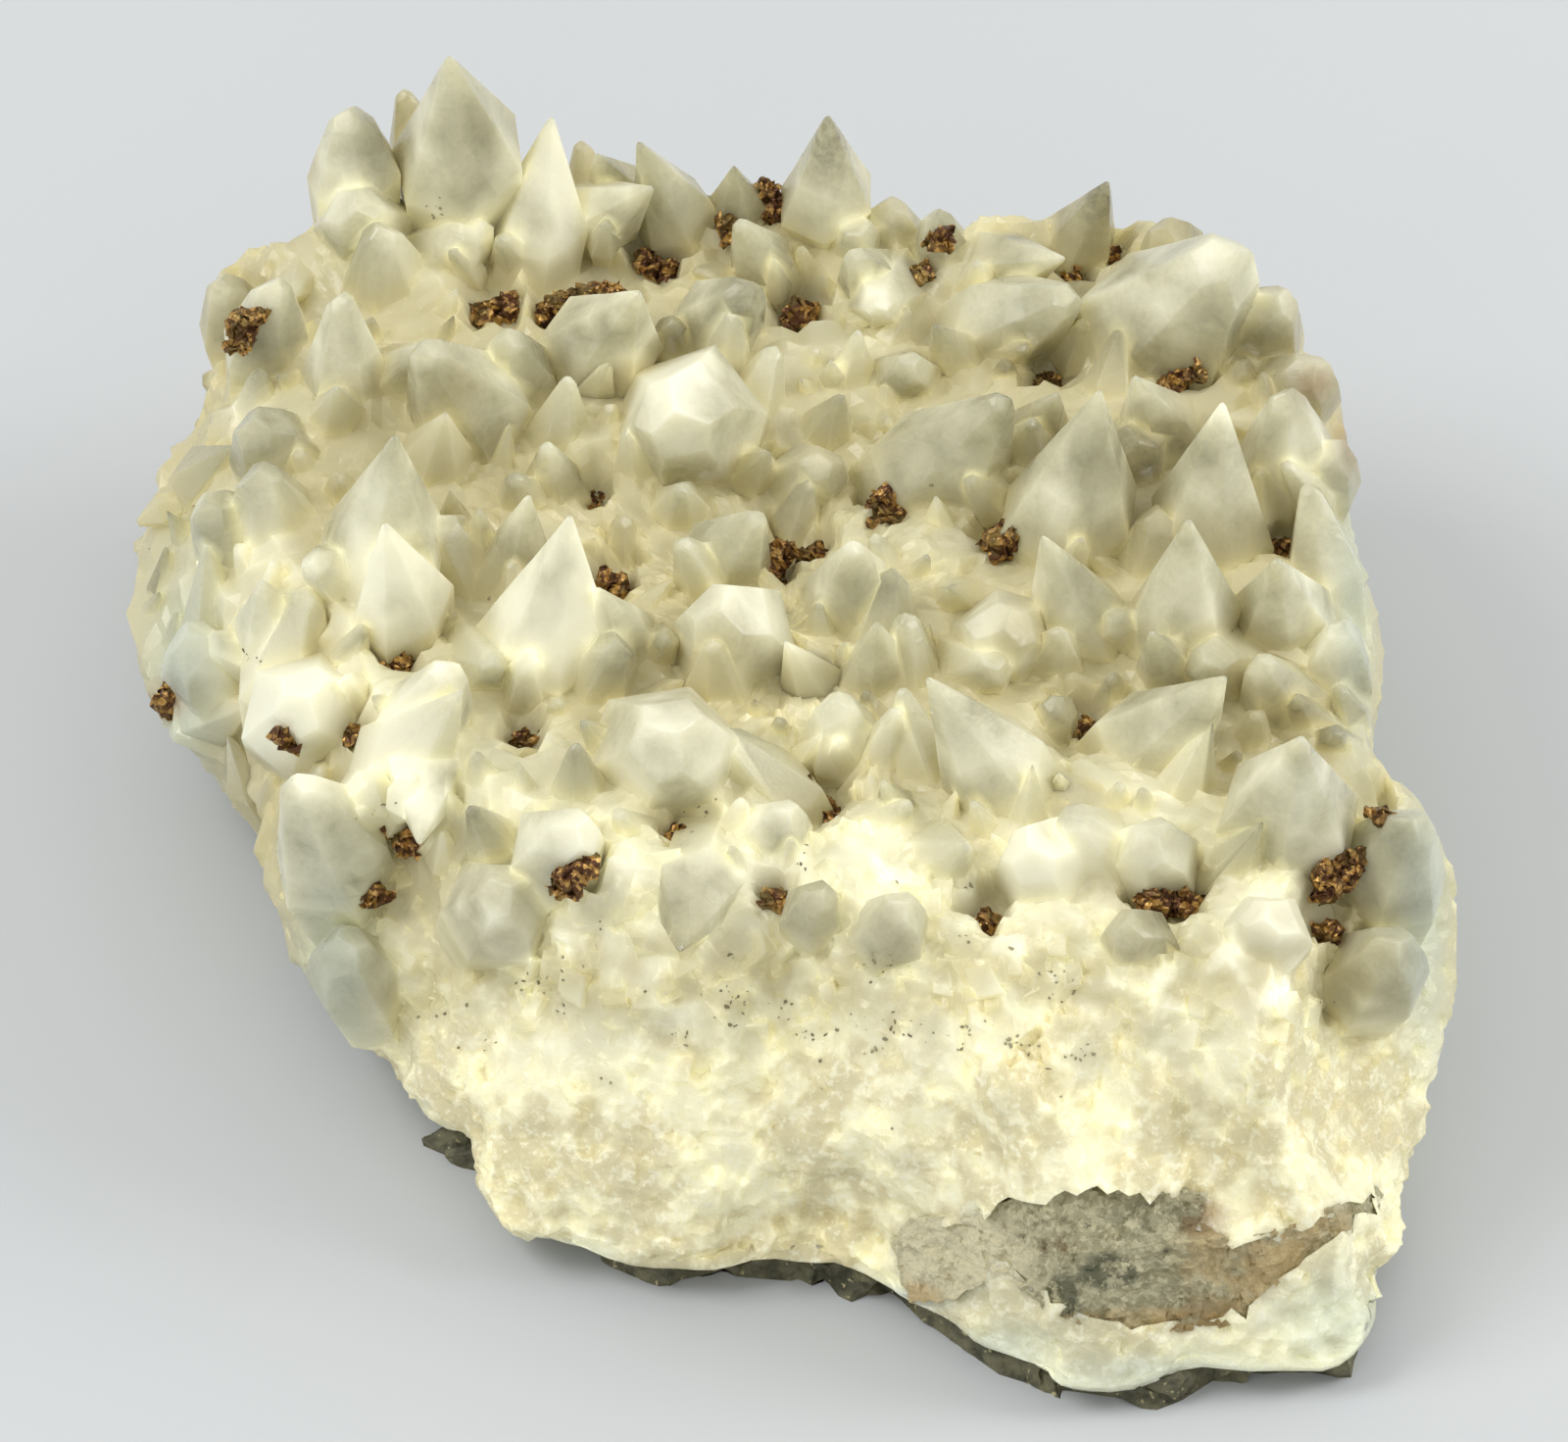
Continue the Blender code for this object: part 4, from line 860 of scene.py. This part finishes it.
def storeMarks(piece):
    mesh = piece.data
    milk, glassy = mesh.attributes["milk"].data, mesh.attributes["clear"].data
    own = [[0.0, 0.0, 0] for vert in mesh.vertices]
    for face in mesh.polygons:
        for index in face.vertices:
            own[index][0] += milk[face.index].value
            own[index][1] = max(own[index][1], glassy[face.index].value)
            own[index][2] += 1
    places = [(*onSheet(vert.co), vert.co.dot(towardWay)) for vert in mesh.vertices]
    levels = envelope(places)
    tipward = mesh.attributes["tipward"].data
    names = ("cloud", "paintedShadeAndGreyBand", "front", "warm", "stain", "backdropBlue", "through")
    values = {name: [] for name in names}
    patch, *patchRamp = marks["broken"]
    stray, straySize = marks["frontStray"]
    for vert, (across, up, depth), (milkSum, clearness, count) in zip(mesh.vertices, places, own):
        clouds = sum(noise.noise(vert.co / size) * lift for size, lift in marks["cloud"])
        white = inSpots(marks["white"], across, up)
        values["cloud"].append(held(milkSum / max(1, count) + clouds + white))
        # painted shade: a place deep under the crystals around it, or in a shaded hollow, gets the darker
        # tint; the broken band adds its own real greyer tone
        under = levelAt(levels, across, up, depth) - depth
        broken = math.exp(-((up - marks["band"][0]) / marks["band"][1]) ** 2)
        broken *= marks["band"][2] * ramp(noise.noise(vert.co / patch), *patchRamp)
        paintedShadeSpot = inSpots(marks["paintedShadeSpots"], across, up)
        values["paintedShadeAndGreyBand"].append(max(ramp(under, *marks["shadeAndGreyTint"]), paintedShadeSpot, broken))
        front = ramp(up + stray * noise.noise(vert.co / straySize), *marks["front"])
        values["front"].append(front * marks["frontShare"][0] if vert.co.y < marks["frontShare"][1] else 0.0)
        warmth = sum(noise.noise(vert.co / size) * lift for size, lift in marks["warmSizes"])
        values["warm"].append(ramp(warmth, *marks["warm"]))
        # painted light: the backdrop's blue as if seen through thin rims
        values["backdropBlue"].append(marks["backdropBlueShare"] * inSpots(marks["backdropBlue"], across, up))
        values["stain"].append(marks["stained"] * inSpots(marks["stains"], across, up))
        high = tipward[vert.index].value
        unclouded = marks["glassiness"] * (1 - values["cloud"][-1]) * ramp(high, *marks["milkTip"])
        values["through"].append(max(clearness * ramp(high, *marks["clearTip"]), unclouded))
    for name, numbers in values.items():
        stored = mesh.attributes.get(name) or mesh.attributes.new(name, "FLOAT", "POINT")
        stored.data.foreach_set("value", numbers)


def keptInBox(piece):
    low, high = solidBox
    for vert in piece.data.vertices:
        vert.co = Vector(held(vert.co[axis], low[axis], high[axis]) for axis in range(3))


def inMetres(piece):
    # puts the piece in the finished frame, where the specimen stands on its cut underside
    piece.data.transform(Matrix.Scale(mm, 4) @ Matrix.Translation(-sheet["foot"]))
    return piece


def smoothFaces(piece):
    piece.data.polygons.foreach_set("use_smooth", [True] * len(piece.data.polygons))
    piece.data.set_sharp_from_angle(angle=crystals["sharpFrom"])


def calcitePiece():
    seat = seatOfCrystals()
    spots = grainSpots()
    rows = [row for group in namedCrystals.values() for row in group]
    large = [namedCrystal(row, seat) for row in rows]
    print("large crystals", len(large))
    gathered = bmesh.new()
    for crystal in large:
        gathered.from_mesh(crystal.data)
    body = pieceFrom(marked(veinBody(spots), 0.6, 0.0), "calciteCrystals")
    gathered.from_mesh(body.data)
    grown = BVHTree.FromBMesh(gathered)
    gathered.free()
    young = youngOnBed(seat, grown, spots) + youngOnSides(seat)
    print("young crystals", len(young))
    broken = cleavageBlocks(skinOf(body), spots)
    pocket = lensPocket(seat)
    fused(body, large + young + broken, "UNION")
    print("joined, triangles", len(body.data.polygons))
    fused(body, [pocket], "DIFFERENCE")
    shape = shapeOf(body)
    bmesh.ops.triangulate(shape, faces=shape.faces)
    bmesh.ops.dissolve_degenerate(shape, edges=shape.edges, dist=0.01)
    bmesh.ops.triangulate(shape, faces=shape.faces)
    shape.to_mesh(body.data)
    shape.free()
    storeMarks(body)
    inMetres(body)
    keptInBox(body)
    smoothFaces(body)
    print("calcite triangles", len(body.data.polygons))
    return body


# Shader maths: a wire is a socket whose value can be added, multiplied and so on.

class Wire:
    def __init__(self, socket):
        self.socket = socket

    def node(self, kind, settings=(), sockets=(), output=0):
        # adds a node: its settings first, then what its sockets hold or are fed
        tree = self.socket.id_data
        made = tree.nodes.new("ShaderNode" + kind)
        for name, value in dict(settings).items():
            setattr(made, name, value)
        for name, value in dict(sockets).items():
            if isinstance(value, Wire):
                tree.links.new(value.socket, made.inputs[name])
            else:
                made.inputs[name].default_value = value
        return Wire(made.outputs[output])

    def maths(self, operation, first, second):
        return self.node("Math", {"operation": operation}, {0: first, 1: second})

    def __add__(self, other):
        return self.maths("ADD", self, other)

    def __sub__(self, other):
        return self.maths("SUBTRACT", self, other)

    def __rsub__(self, other):
        return self.maths("SUBTRACT", other, self)

    def __mul__(self, other):
        return self.maths("MULTIPLY", self, other)

    def __truediv__(self, other):
        return self.maths("DIVIDE", self, other)

    __radd__ = __add__
    __rmul__ = __mul__

    def atMost(self, other):
        return self.maths("MINIMUM", self, other)

    def between(self, low, high):
        # nought at low, one at high, smooth between
        settings = {"interpolation_type": "SMOOTHSTEP"}
        return self.node("MapRange", settings, {"Value": self, "From Min": low, "From Max": high})

    def mix(self, first, second):
        # the first colour where this is nought, the second where it is one
        return self.node("Mix", {"data_type": "RGBA"}, {0: self, 6: first, 7: second}, 2)

    def moved(self, by):
        return self.node("VectorMath", {"operation": "ADD"}, {0: self, 1: by})

    def noise(self, size, detail=3.0, roughness=0.55):
        # soft noise with blotches of this size in mm
        sockets = {"Vector": self, "Scale": 1 / size, "Detail": detail, "Roughness": roughness}
        return self.node("TexNoise", {}, sockets)

    def cells(self, size, output="Distance"):
        return self.node("TexVoronoi", {"feature": "F1"}, {"Vector": self, "Scale": 1 / size}, output)

    def shades(self, size):
        # a random value for each cell
        colours = self.cells(size, "Color")
        return colours.node("SeparateColor", {}, {"Color": colours}, 0)

    def along(self, way):
        return self.node("VectorMath", {"operation": "DOT_PRODUCT"}, {0: self, 1: way}, 1)

    def spot(self, across, up, reach, soft=0.6):
        # one at a place of the sheet, nought outside its reach (across, up)
        foot = sheet["foot"]
        a = (self.along(acrossWay) - (across - foot.x)) / reach[0]
        b = (self.along(upWay) - (up - foot.dot(upWay))) / reach[1]
        return (a * a + b * b).between(1.0 + soft, 1.0 - soft)

    def spots(self, rows):
        # the sum of several spots: across, up, reach, strength
        parts = [self.spot(across, up, reach) * strength for across, up, reach, strength in rows]
        return sum(parts[1:], parts[0])


def tint(red, green, blue):
    # a colour as a paint program gives it, each part over 10, as the light it reflects
    linear = [((part / 255 + 0.055) / 1.055) ** 2.4 for part in (red, green, blue)]
    return (*linear, 1.0)


def startFinish(name):
    # a material with a wire of the places on the piece, in mm
    material = bpy.data.materials.new(name)
    material.use_nodes = True
    material.node_tree.nodes.clear()
    coordinates = material.node_tree.nodes.new("ShaderNodeTexCoord")
    places = Wire(coordinates.outputs["Object"])
    places = places.node("VectorMath", {"operation": "SCALE"}, {0: places, "Scale": 1 / mm})
    return material, places


def endFinish(surface):
    tree = surface.socket.id_data
    output = tree.nodes.new("ShaderNodeOutputMaterial")
    tree.links.new(surface.socket, output.inputs["Surface"])


def attribute(places, name):
    return places.node("Attribute", {"attribute_name": name}, {}, "Fac")


def bumped(places, height, distance, strength):
    sockets = {"Height": height, "Distance": distance * mm, "Strength": strength}
    return places.node("Bump", {}, sockets, "Normal")


def principled(places, sockets, settings=()):
    return places.node("BsdfPrincipled", settings, sockets)


# Finishes

calciteLook = {
    "milk": tint(246, 244, 220),
    "crystal": tint(227, 224, 193),
    "glassy": tint(200, 197, 164),
    # tint of the painted shade between crystals, also the real greyer tone of the broken band
    "shadeAndGreyTint": tint(186, 176, 134),
    "cream": tint(245, 240, 203),
    "tan": tint(212, 202, 162),
    # painted light: the blue of a backdrop seen through thin rims
    "backdropBlue": tint(186, 200, 192),
    "stain": tint(150, 112, 66),
    "roughness": (0.2, 0.42),
    "subsurface": (0.0027, 0.0025, 0.0018),     # metres
    "tipTint": tint(250, 250, 246),
    "tipIor": 1.33,         # lower than calcite's own, which made the tips too dark
    "tipRoughness": 0.08,
    "mostClear": 0.9,
}


def calciteFinish():
    # broad clouds are stored on the points, so that only the fine grain costs time in a render
    look = calciteLook
    material, places = startFinish("calcite crystal")
    milky = attribute(places, "cloud")
    low = attribute(places, "paintedShadeAndGreyBand")
    front = attribute(places, "front")
    warm = attribute(places, "warm")
    grain = places.noise(0.9, 2.0, 0.7)
    sugar = places.moved((4, 0, 0)).noise(2.4, 2.0, 0.7)
    body = (milky + (grain - 0.5) * 0.35).between(0.0, 0.5).mix(look["glassy"], look["crystal"])
    body = milky.between(0.4, 1.0).mix(body, look["milk"])
    # painted shade in the valleys and hollows between crystals, and the real greyer broken band
    body = (low * 0.8).mix(body, look["shadeAndGreyTint"])
    cream = (warm + (sugar - 0.5) * 1.6).between(0.1, 0.9).mix(look["cream"], look["tan"])
    cream = ((grain - sugar * 0.5).between(0.26, 0.42) * 0.6).mix(cream, look["milk"])
    body = front.mix(body, cream)
    # painted light: the backdrop's blue painted into thin rims
    body = attribute(places, "backdropBlue").mix(body, look["backdropBlue"])
    body = attribute(places, "stain").mix(body, look["stain"])
    normal = bumped(places, grain * (front * 1.8 + 0.7) + sugar * front * 2.0, 0.3, 0.6)
    least, most = look["roughness"]
    shader = principled(places, {
        "Base Color": body, "Roughness": milky * (most - least) + least, "IOR": 1.5,
        "Subsurface Weight": 1.0, "Subsurface Radius": look["subsurface"], "Subsurface Scale": 1.0,
        "Normal": normal,
    }, {"subsurface_method": "BURLEY"})
    glass = principled(places, {
        "Base Color": look["tipTint"], "Roughness": look["tipRoughness"], "IOR": look["tipIor"],
        "Transmission Weight": 1.0,
    })
    through = attribute(places, "through") * (grain + 0.5)
    endFinish(places.node("MixShader", {}, {0: through.atMost(look["mostClear"]), 1: shader, 2: glass}))
    return material


sulphideLook = {"brown": tint(92, 62, 42), "gold": tint(196, 156, 92), "olive": tint(122, 106, 64)}


def sulphideFinish():
    material, places = startFinish("tarnished sulphide")
    shade = places.shades(0.6)
    blotch = places.noise(1.6, 3.0)
    colour = (shade * 0.6 + blotch * 0.7).between(0.52, 0.9).mix(sulphideLook["brown"], sulphideLook["gold"])
    olive = places.moved((3, 0, 0)).noise(3.2, 2.0).between(0.5, 0.65)
    colour = (olive * 0.7).mix(colour, sulphideLook["olive"])
    bumps = bumped(places, places.cells(0.45) + shade, 0.12, 0.8)
    endFinish(principled(places, {
        "Base Color": colour, "Metallic": 0.8, "Roughness": blotch * 0.35 + 0.22, "Normal": bumps,
    }))
    return material


speckLook = {"dark": tint(118, 112, 84), "light": tint(158, 152, 122)}


def speckFinish():
    material, places = startFinish("grey green specks")
    colour = places.noise(5.0, 1.0).between(0.4, 0.6).mix(speckLook["dark"], speckLook["light"])
    endFinish(principled(places, {"Base Color": colour, "Roughness": 0.5}))
    return material


rockLook = {
    "dull": tint(150, 144, 112),
    "light": tint(196, 190, 156),
    "grit": tint(216, 208, 176),
    "pale": tint(222, 214, 180),
    "green": tint(74, 78, 54),
    "brown": tint(104, 84, 52),
    "rust": tint(190, 162, 108),
}
# spots of the rock: across, up, reach, strength
rockSpots = {
    "pale": [(16.5, -53.5, (8.0, 5.5), 0.9)],
    "green": [(32.2, -54.6, (3.4, 1.8), 1.0), (27.5, -57.9, (1.8, 3.2), 1.0), (36.5, -49.5, (5.0, 2.0), 0.5)],
    "brown": [
        (27.4, -51.7, (2.4, 1.2), 1.0), (41.5, -49.3, (3.0, 1.8), 1.0), (40.8, -60.0, (3.0, 1.4), 1.0),
        (42.0, -58.4, (3.0, 2.6), 0.7),
    ],
    "rust": [(50.0, -54.0, (11.0, 6.0), 1.0), (13.2, -57.8, (3.0, 2.0), 1.0), (36.0, -60.0, (9.0, 1.8), 1.0)],
}


def rockFinish():
    # sugary grains of half a millimetre, with dark green, brown and rusty patches
    material, places = startFinish("grey green rock")
    shade = places.shades(0.6)
    mottle = places.noise(4.0, 5.0, 0.65)
    grit = places.noise(0.45, 3.0, 0.7)
    look = rockLook
    colour = (mottle * 0.6 + shade * 0.4).between(0.25, 0.75).mix(look["dull"], look["light"])
    colour = (grit.between(0.55, 0.75) * 0.7).mix(colour, look["grit"])
    spots = {name: places.spots(rows) for name, rows in rockSpots.items()}
    colour = (spots["pale"] * mottle.between(0.2, 0.5)).mix(colour, look["pale"])
    dark = places.moved((9, 0, 0)).noise(2.4, 4.0, 0.7)
    green = (spots["green"] * 0.9 + dark.between(0.62, 0.75)) * dark.between(0.45, 0.53)
    colour = (green * 0.9).mix(colour, look["green"])
    colour = (spots["brown"] * mottle.between(0.44, 0.54) * 0.85).mix(colour, look["brown"])
    colour = (spots["rust"] * mottle.between(0.3, 0.6) * 0.7).mix(colour, look["rust"])
    bumps = bumped(places, mottle + grit * 0.8 + shade * 0.5, 0.45, 1.0)
    endFinish(principled(places, {"Base Color": colour, "Roughness": grit * 0.3 + 0.45, "Normal": bumps}))
    return material


wallRockLook = {"dark": tint(58, 58, 42), "light": tint(120, 116, 88), "flecks": tint(178, 168, 128)}


def wallRockFinish():
    material, places = startFinish("dark wall rock")
    mottle = places.noise(2.6, 5.0, 0.65)
    grit = places.noise(0.6, 3.0, 0.7)
    colour = mottle.between(0.3, 0.7).mix(wallRockLook["dark"], wallRockLook["light"])
    flecks = places.moved((5, 0, 0)).noise(0.8, 1.0).between(0.66, 0.74)
    colour = flecks.mix(colour, wallRockLook["flecks"])
    bumps = bumped(places, mottle + grit * 0.5, 0.4, 0.9)
    endFinish(principled(places, {"Base Color": colour, "Roughness": grit * 0.4 + 0.4, "Normal": bumps}))
    return material


floorLook = {"size": 4.0, "tints": (tint(196, 200, 203), tint(200, 203, 206)), "roughness": 0.7}


def floorFinish():
    material, places = startFinish("pale floor")
    colour = places.noise(60.0, 2.0).mix(*floorLook["tints"])
    endFinish(principled(places, {"Base Color": colour, "Roughness": floorLook["roughness"]}))
    return material


def dressed(piece, material):
    piece.data.materials.clear()
    piece.data.materials.append(material)
    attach(piece, "root")


# Pieces that keep the place of a solid of the frame

def copyOfNode(name, longest):
    # the solid's own shape, merged and cut to finer faces, in mm
    shape = bmesh.new()
    shape.from_mesh(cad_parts[name].data)
    bmesh.ops.scale(shape, vec=(1 / mm, 1 / mm, 1 / mm), verts=shape.verts)
    bmesh.ops.remove_doubles(shape, verts=shape.verts, dist=0.002)
    cutTo(shape, longest)
    shape.normal_update()
    return shape


def roughened(shape, steps, low=-math.inf, high=math.inf):
    # breaks the surface into chips, between two heights
    shape.normal_update()
    movedBy(shape, [
        vert.normal * (low < vert.co.z < high) * sum(lift * chipStep(vert.co, size) for size, lift in steps)
        for vert in shape.verts
    ])


def finished(shape, name):
    # the shape in metres, as a piece
    bmesh.ops.scale(shape, vec=(mm, mm, mm), verts=shape.verts)
    return pieceFrom(shape, name)


grains = {
    "edge": 0.36,
    "steps": ((1.7, 0.42), (0.8, 0.3), (0.42, 0.1)),
    "gnarl": ((1.9, 0.85), (0.8, 0.35)),    # size and reach of the bends
    "lift": 1.1,
    "growth": 0.4,
}
specks = {
    "seed": 5,
    "groups": 52,
    "most": 7,              # in a group
    "size": (0.08, 0.26),
    "spread": 0.9,
    "band": ((-36, 36), (-29.5, 3.6)),      # reach across; middle and spread up the sheet
    "elsewhere": 0.22,      # share of the groups that lie anywhere
    "anywhere": ((-60, 62), (-60, 55)),
    "sides": ((0.8, 2.2), (0.5, 1.2), (0.5, 1.2)),      # per size
    "sunk": 0.35,           # of the size
    "jolt": (0.35, 0.09),   # size and reach of the bends
}
rock = {"edge": 0.62, "steps": ((2.6, 0.34), (1.1, 0.24)), "drop": 0.3}
plate = {
    "edge": 1.1,
    "steps": ((3.2, 0.5), (1.2, 0.24)),
    "rough": (0.05, 3.5),   # heights between which it is broken
    "top": 3.6,
    "bite": 3.4,            # how far its edge is eaten away
    "bitten": (12.0, 30.0),     # distances from the middle at which that starts and is full
    "bites": ((9.0, 1.0), (2.6, 0.5)),
    "biteRamp": (-0.3, 0.35),
}


def grainPiece(name):
    shape = copyOfNode(name, grains["edge"])
    shape.normal_update()
    for vert, way in [(vert, vert.normal.copy()) for vert in shape.verts]:
        vert.co += way * grains["growth"] + towardWay * grains["lift"]
    for size, reach in grains["gnarl"]:
        movedBy(shape, [wobble(vert.co / size) * reach for vert in shape.verts])
    roughened(shape, grains["steps"])
    return finished(shape, "sulphideGrain" + name[-3:])


def rockPiece():
    shape = copyOfNode("rock_inclusion", rock["edge"])
    bmesh.ops.translate(shape, vec=towardWay * -rock["drop"], verts=shape.verts)
    roughened(shape, rock["steps"])
    return finished(shape, "rockLens")


def platePiece():
    shape = copyOfNode("wall_rock", plate["edge"])
    for vert in shape.verts:
        inward = Vector((*vein["middle"], vert.co.z)) - vert.co
        rim = ramp(inward.length, *plate["bitten"])
        uneven = sum(noise.noise(vert.co / size) * lift for size, lift in plate["bites"])
        vert.co += inward.normalized() * rim * plate["bite"] * ramp(uneven, *plate["biteRamp"])
    roughened(shape, plate["steps"], *plate["rough"])
    for vert in shape.verts:
        vert.co.z = held(vert.co.z, 0.0, plate["top"])
    return finished(shape, "wallRockPlate")


def specksPiece(skin):
    # clusters of tiny dark crystals, most of them in the broken band
    draw = random.Random(specks["seed"])
    spread = specks["spread"]
    shape = bmesh.new()
    for group in range(specks["groups"]):
        across, up = draw.uniform(*specks["band"][0]), draw.gauss(*specks["band"][1])
        if draw.random() < specks["elsewhere"]:
            across, up = draw.uniform(*specks["anywhere"][0]), draw.uniform(*specks["anywhere"][1])
        for speck in range(draw.randint(1, specks["most"])):
            hit, normal = seenAt(skin, across + draw.gauss(0, spread), up + draw.gauss(0, spread * 0.7))
            if hit is None:
                continue
            size = draw.uniform(*specks["size"])
            turn = Matrix.Rotation(draw.uniform(0, 3), 4, "X") @ Matrix.Rotation(draw.uniform(0, 3), 4, "Z")
            sides = [draw.uniform(*side) for side in specks["sides"]]
            seated = Matrix.Translation(hit - normal * size * specks["sunk"])
            seated = seated @ turn @ Matrix.Diagonal((*sides, 1.0))
            bmesh.ops.create_icosphere(shape, subdivisions=1, radius=size, matrix=seated)
    size, reach = specks["jolt"]
    movedBy(shape, [wobble(vert.co / size) * reach for vert in shape.verts])
    return inMetres(pieceFrom(shape, "sulphideSpecks"))


def floorPiece():
    shape = bmesh.new()
    bmesh.ops.create_grid(shape, x_segments=4, y_segments=4, size=floorLook["size"])
    floor = pieceFrom(shape, "floor")
    for face in floor.data.polygons:
        face.use_smooth = True
    return floor


# Light and camera

lights = {
    # name: (place in metres, width, power, colour)
    "keyLeft": ((-0.75, -0.1, 0.95), 0.6, 5.5, (1.0, 0.99, 0.97)),
    "fillRight": ((0.9, 0.05, 0.6), 0.5, 4.5, (1.0, 0.99, 0.97)),
}
world = {"colour": (0.9, 0.9, 0.88, 1.0), "strength": 0.85, "bounces": 5, "throughBounces": 4}
view = {"lens": 600.0, "width": 160.0, "sensor": 36.0, "clip": 20.0}


def setLights(aim):
    for name, (place, width, power, colour) in lights.items():
        lamp = bpy.data.lights.new(name, "AREA")
        lamp.shape = "DISK"
        lamp.size = width
        lamp.energy = power
        lamp.color = colour
        lit = bpy.data.objects.new(name, lamp)
        lit.location = place
        lit.rotation_euler = (Vector(place) - aim).to_track_quat("Z", "Y").to_euler()
        bpy.context.scene.collection.objects.link(lit)
    sky = bpy.data.worlds.new("studio")
    sky.use_nodes = True
    backdrop = sky.node_tree.nodes["Background"]
    backdrop.inputs["Color"].default_value = world["colour"]
    backdrop.inputs["Strength"].default_value = world["strength"]
    # an even sky needs no sampling of its own, and few bounces reach the eye
    sky.cycles.sampling_method = "NONE"
    bpy.context.scene.cycles.max_bounces = world["bounces"]
    bpy.context.scene.cycles.transmission_bounces = world["throughBounces"]
    bpy.context.scene.world = sky
    bpy.context.scene.view_settings.view_transform = "Standard"


def setCamera(aim):
    camera = bpy.data.cameras.new("camera")
    camera.lens = view["lens"]
    camera.sensor_width = view["sensor"]
    camera.clip_end = view["clip"]
    seen = bpy.data.objects.new("camera", camera)
    distance = view["width"] * mm * view["lens"] / view["sensor"]
    seen.location = aim + towardWay * distance
    seen.rotation_euler = towardWay.to_track_quat("Z", "Y").to_euler()
    bpy.context.scene.collection.objects.link(seen)
    bpy.context.scene.camera = seen


aim = -sheet["foot"] * mm
setCamera(aim)
setLights(aim)

calcite = calcitePiece()
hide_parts("calcite")
dressed(calcite, calciteFinish())

sulphide = sulphideFinish()
for nodeName in sorted(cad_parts):
    if nodeName.startswith("chalcopyrite"):
        grain = grainPiece(nodeName)
        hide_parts(nodeName)
        dressed(grain, sulphide)
print("grains done")

rockLens = rockPiece()
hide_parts("rock_inclusion")
dressed(rockLens, rockFinish())
wallRock = platePiece()
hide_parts("wall_rock")
dressed(wallRock, wallRockFinish())
print("rock done")

calciteShape = shapeOf(calcite)
inSheetFrame = Matrix.Translation(sheet["foot"]) @ Matrix.Scale(1 / mm, 4)
bmesh.ops.transform(calciteShape, matrix=inSheetFrame, verts=calciteShape.verts)
dust = specksPiece(BVHTree.FromBMesh(calciteShape))
calciteShape.free()
dressed(dust, speckFinish())
print("specks, triangles", len(dust.data.polygons))

floor = floorPiece()
floor.data.materials.append(floorFinish())
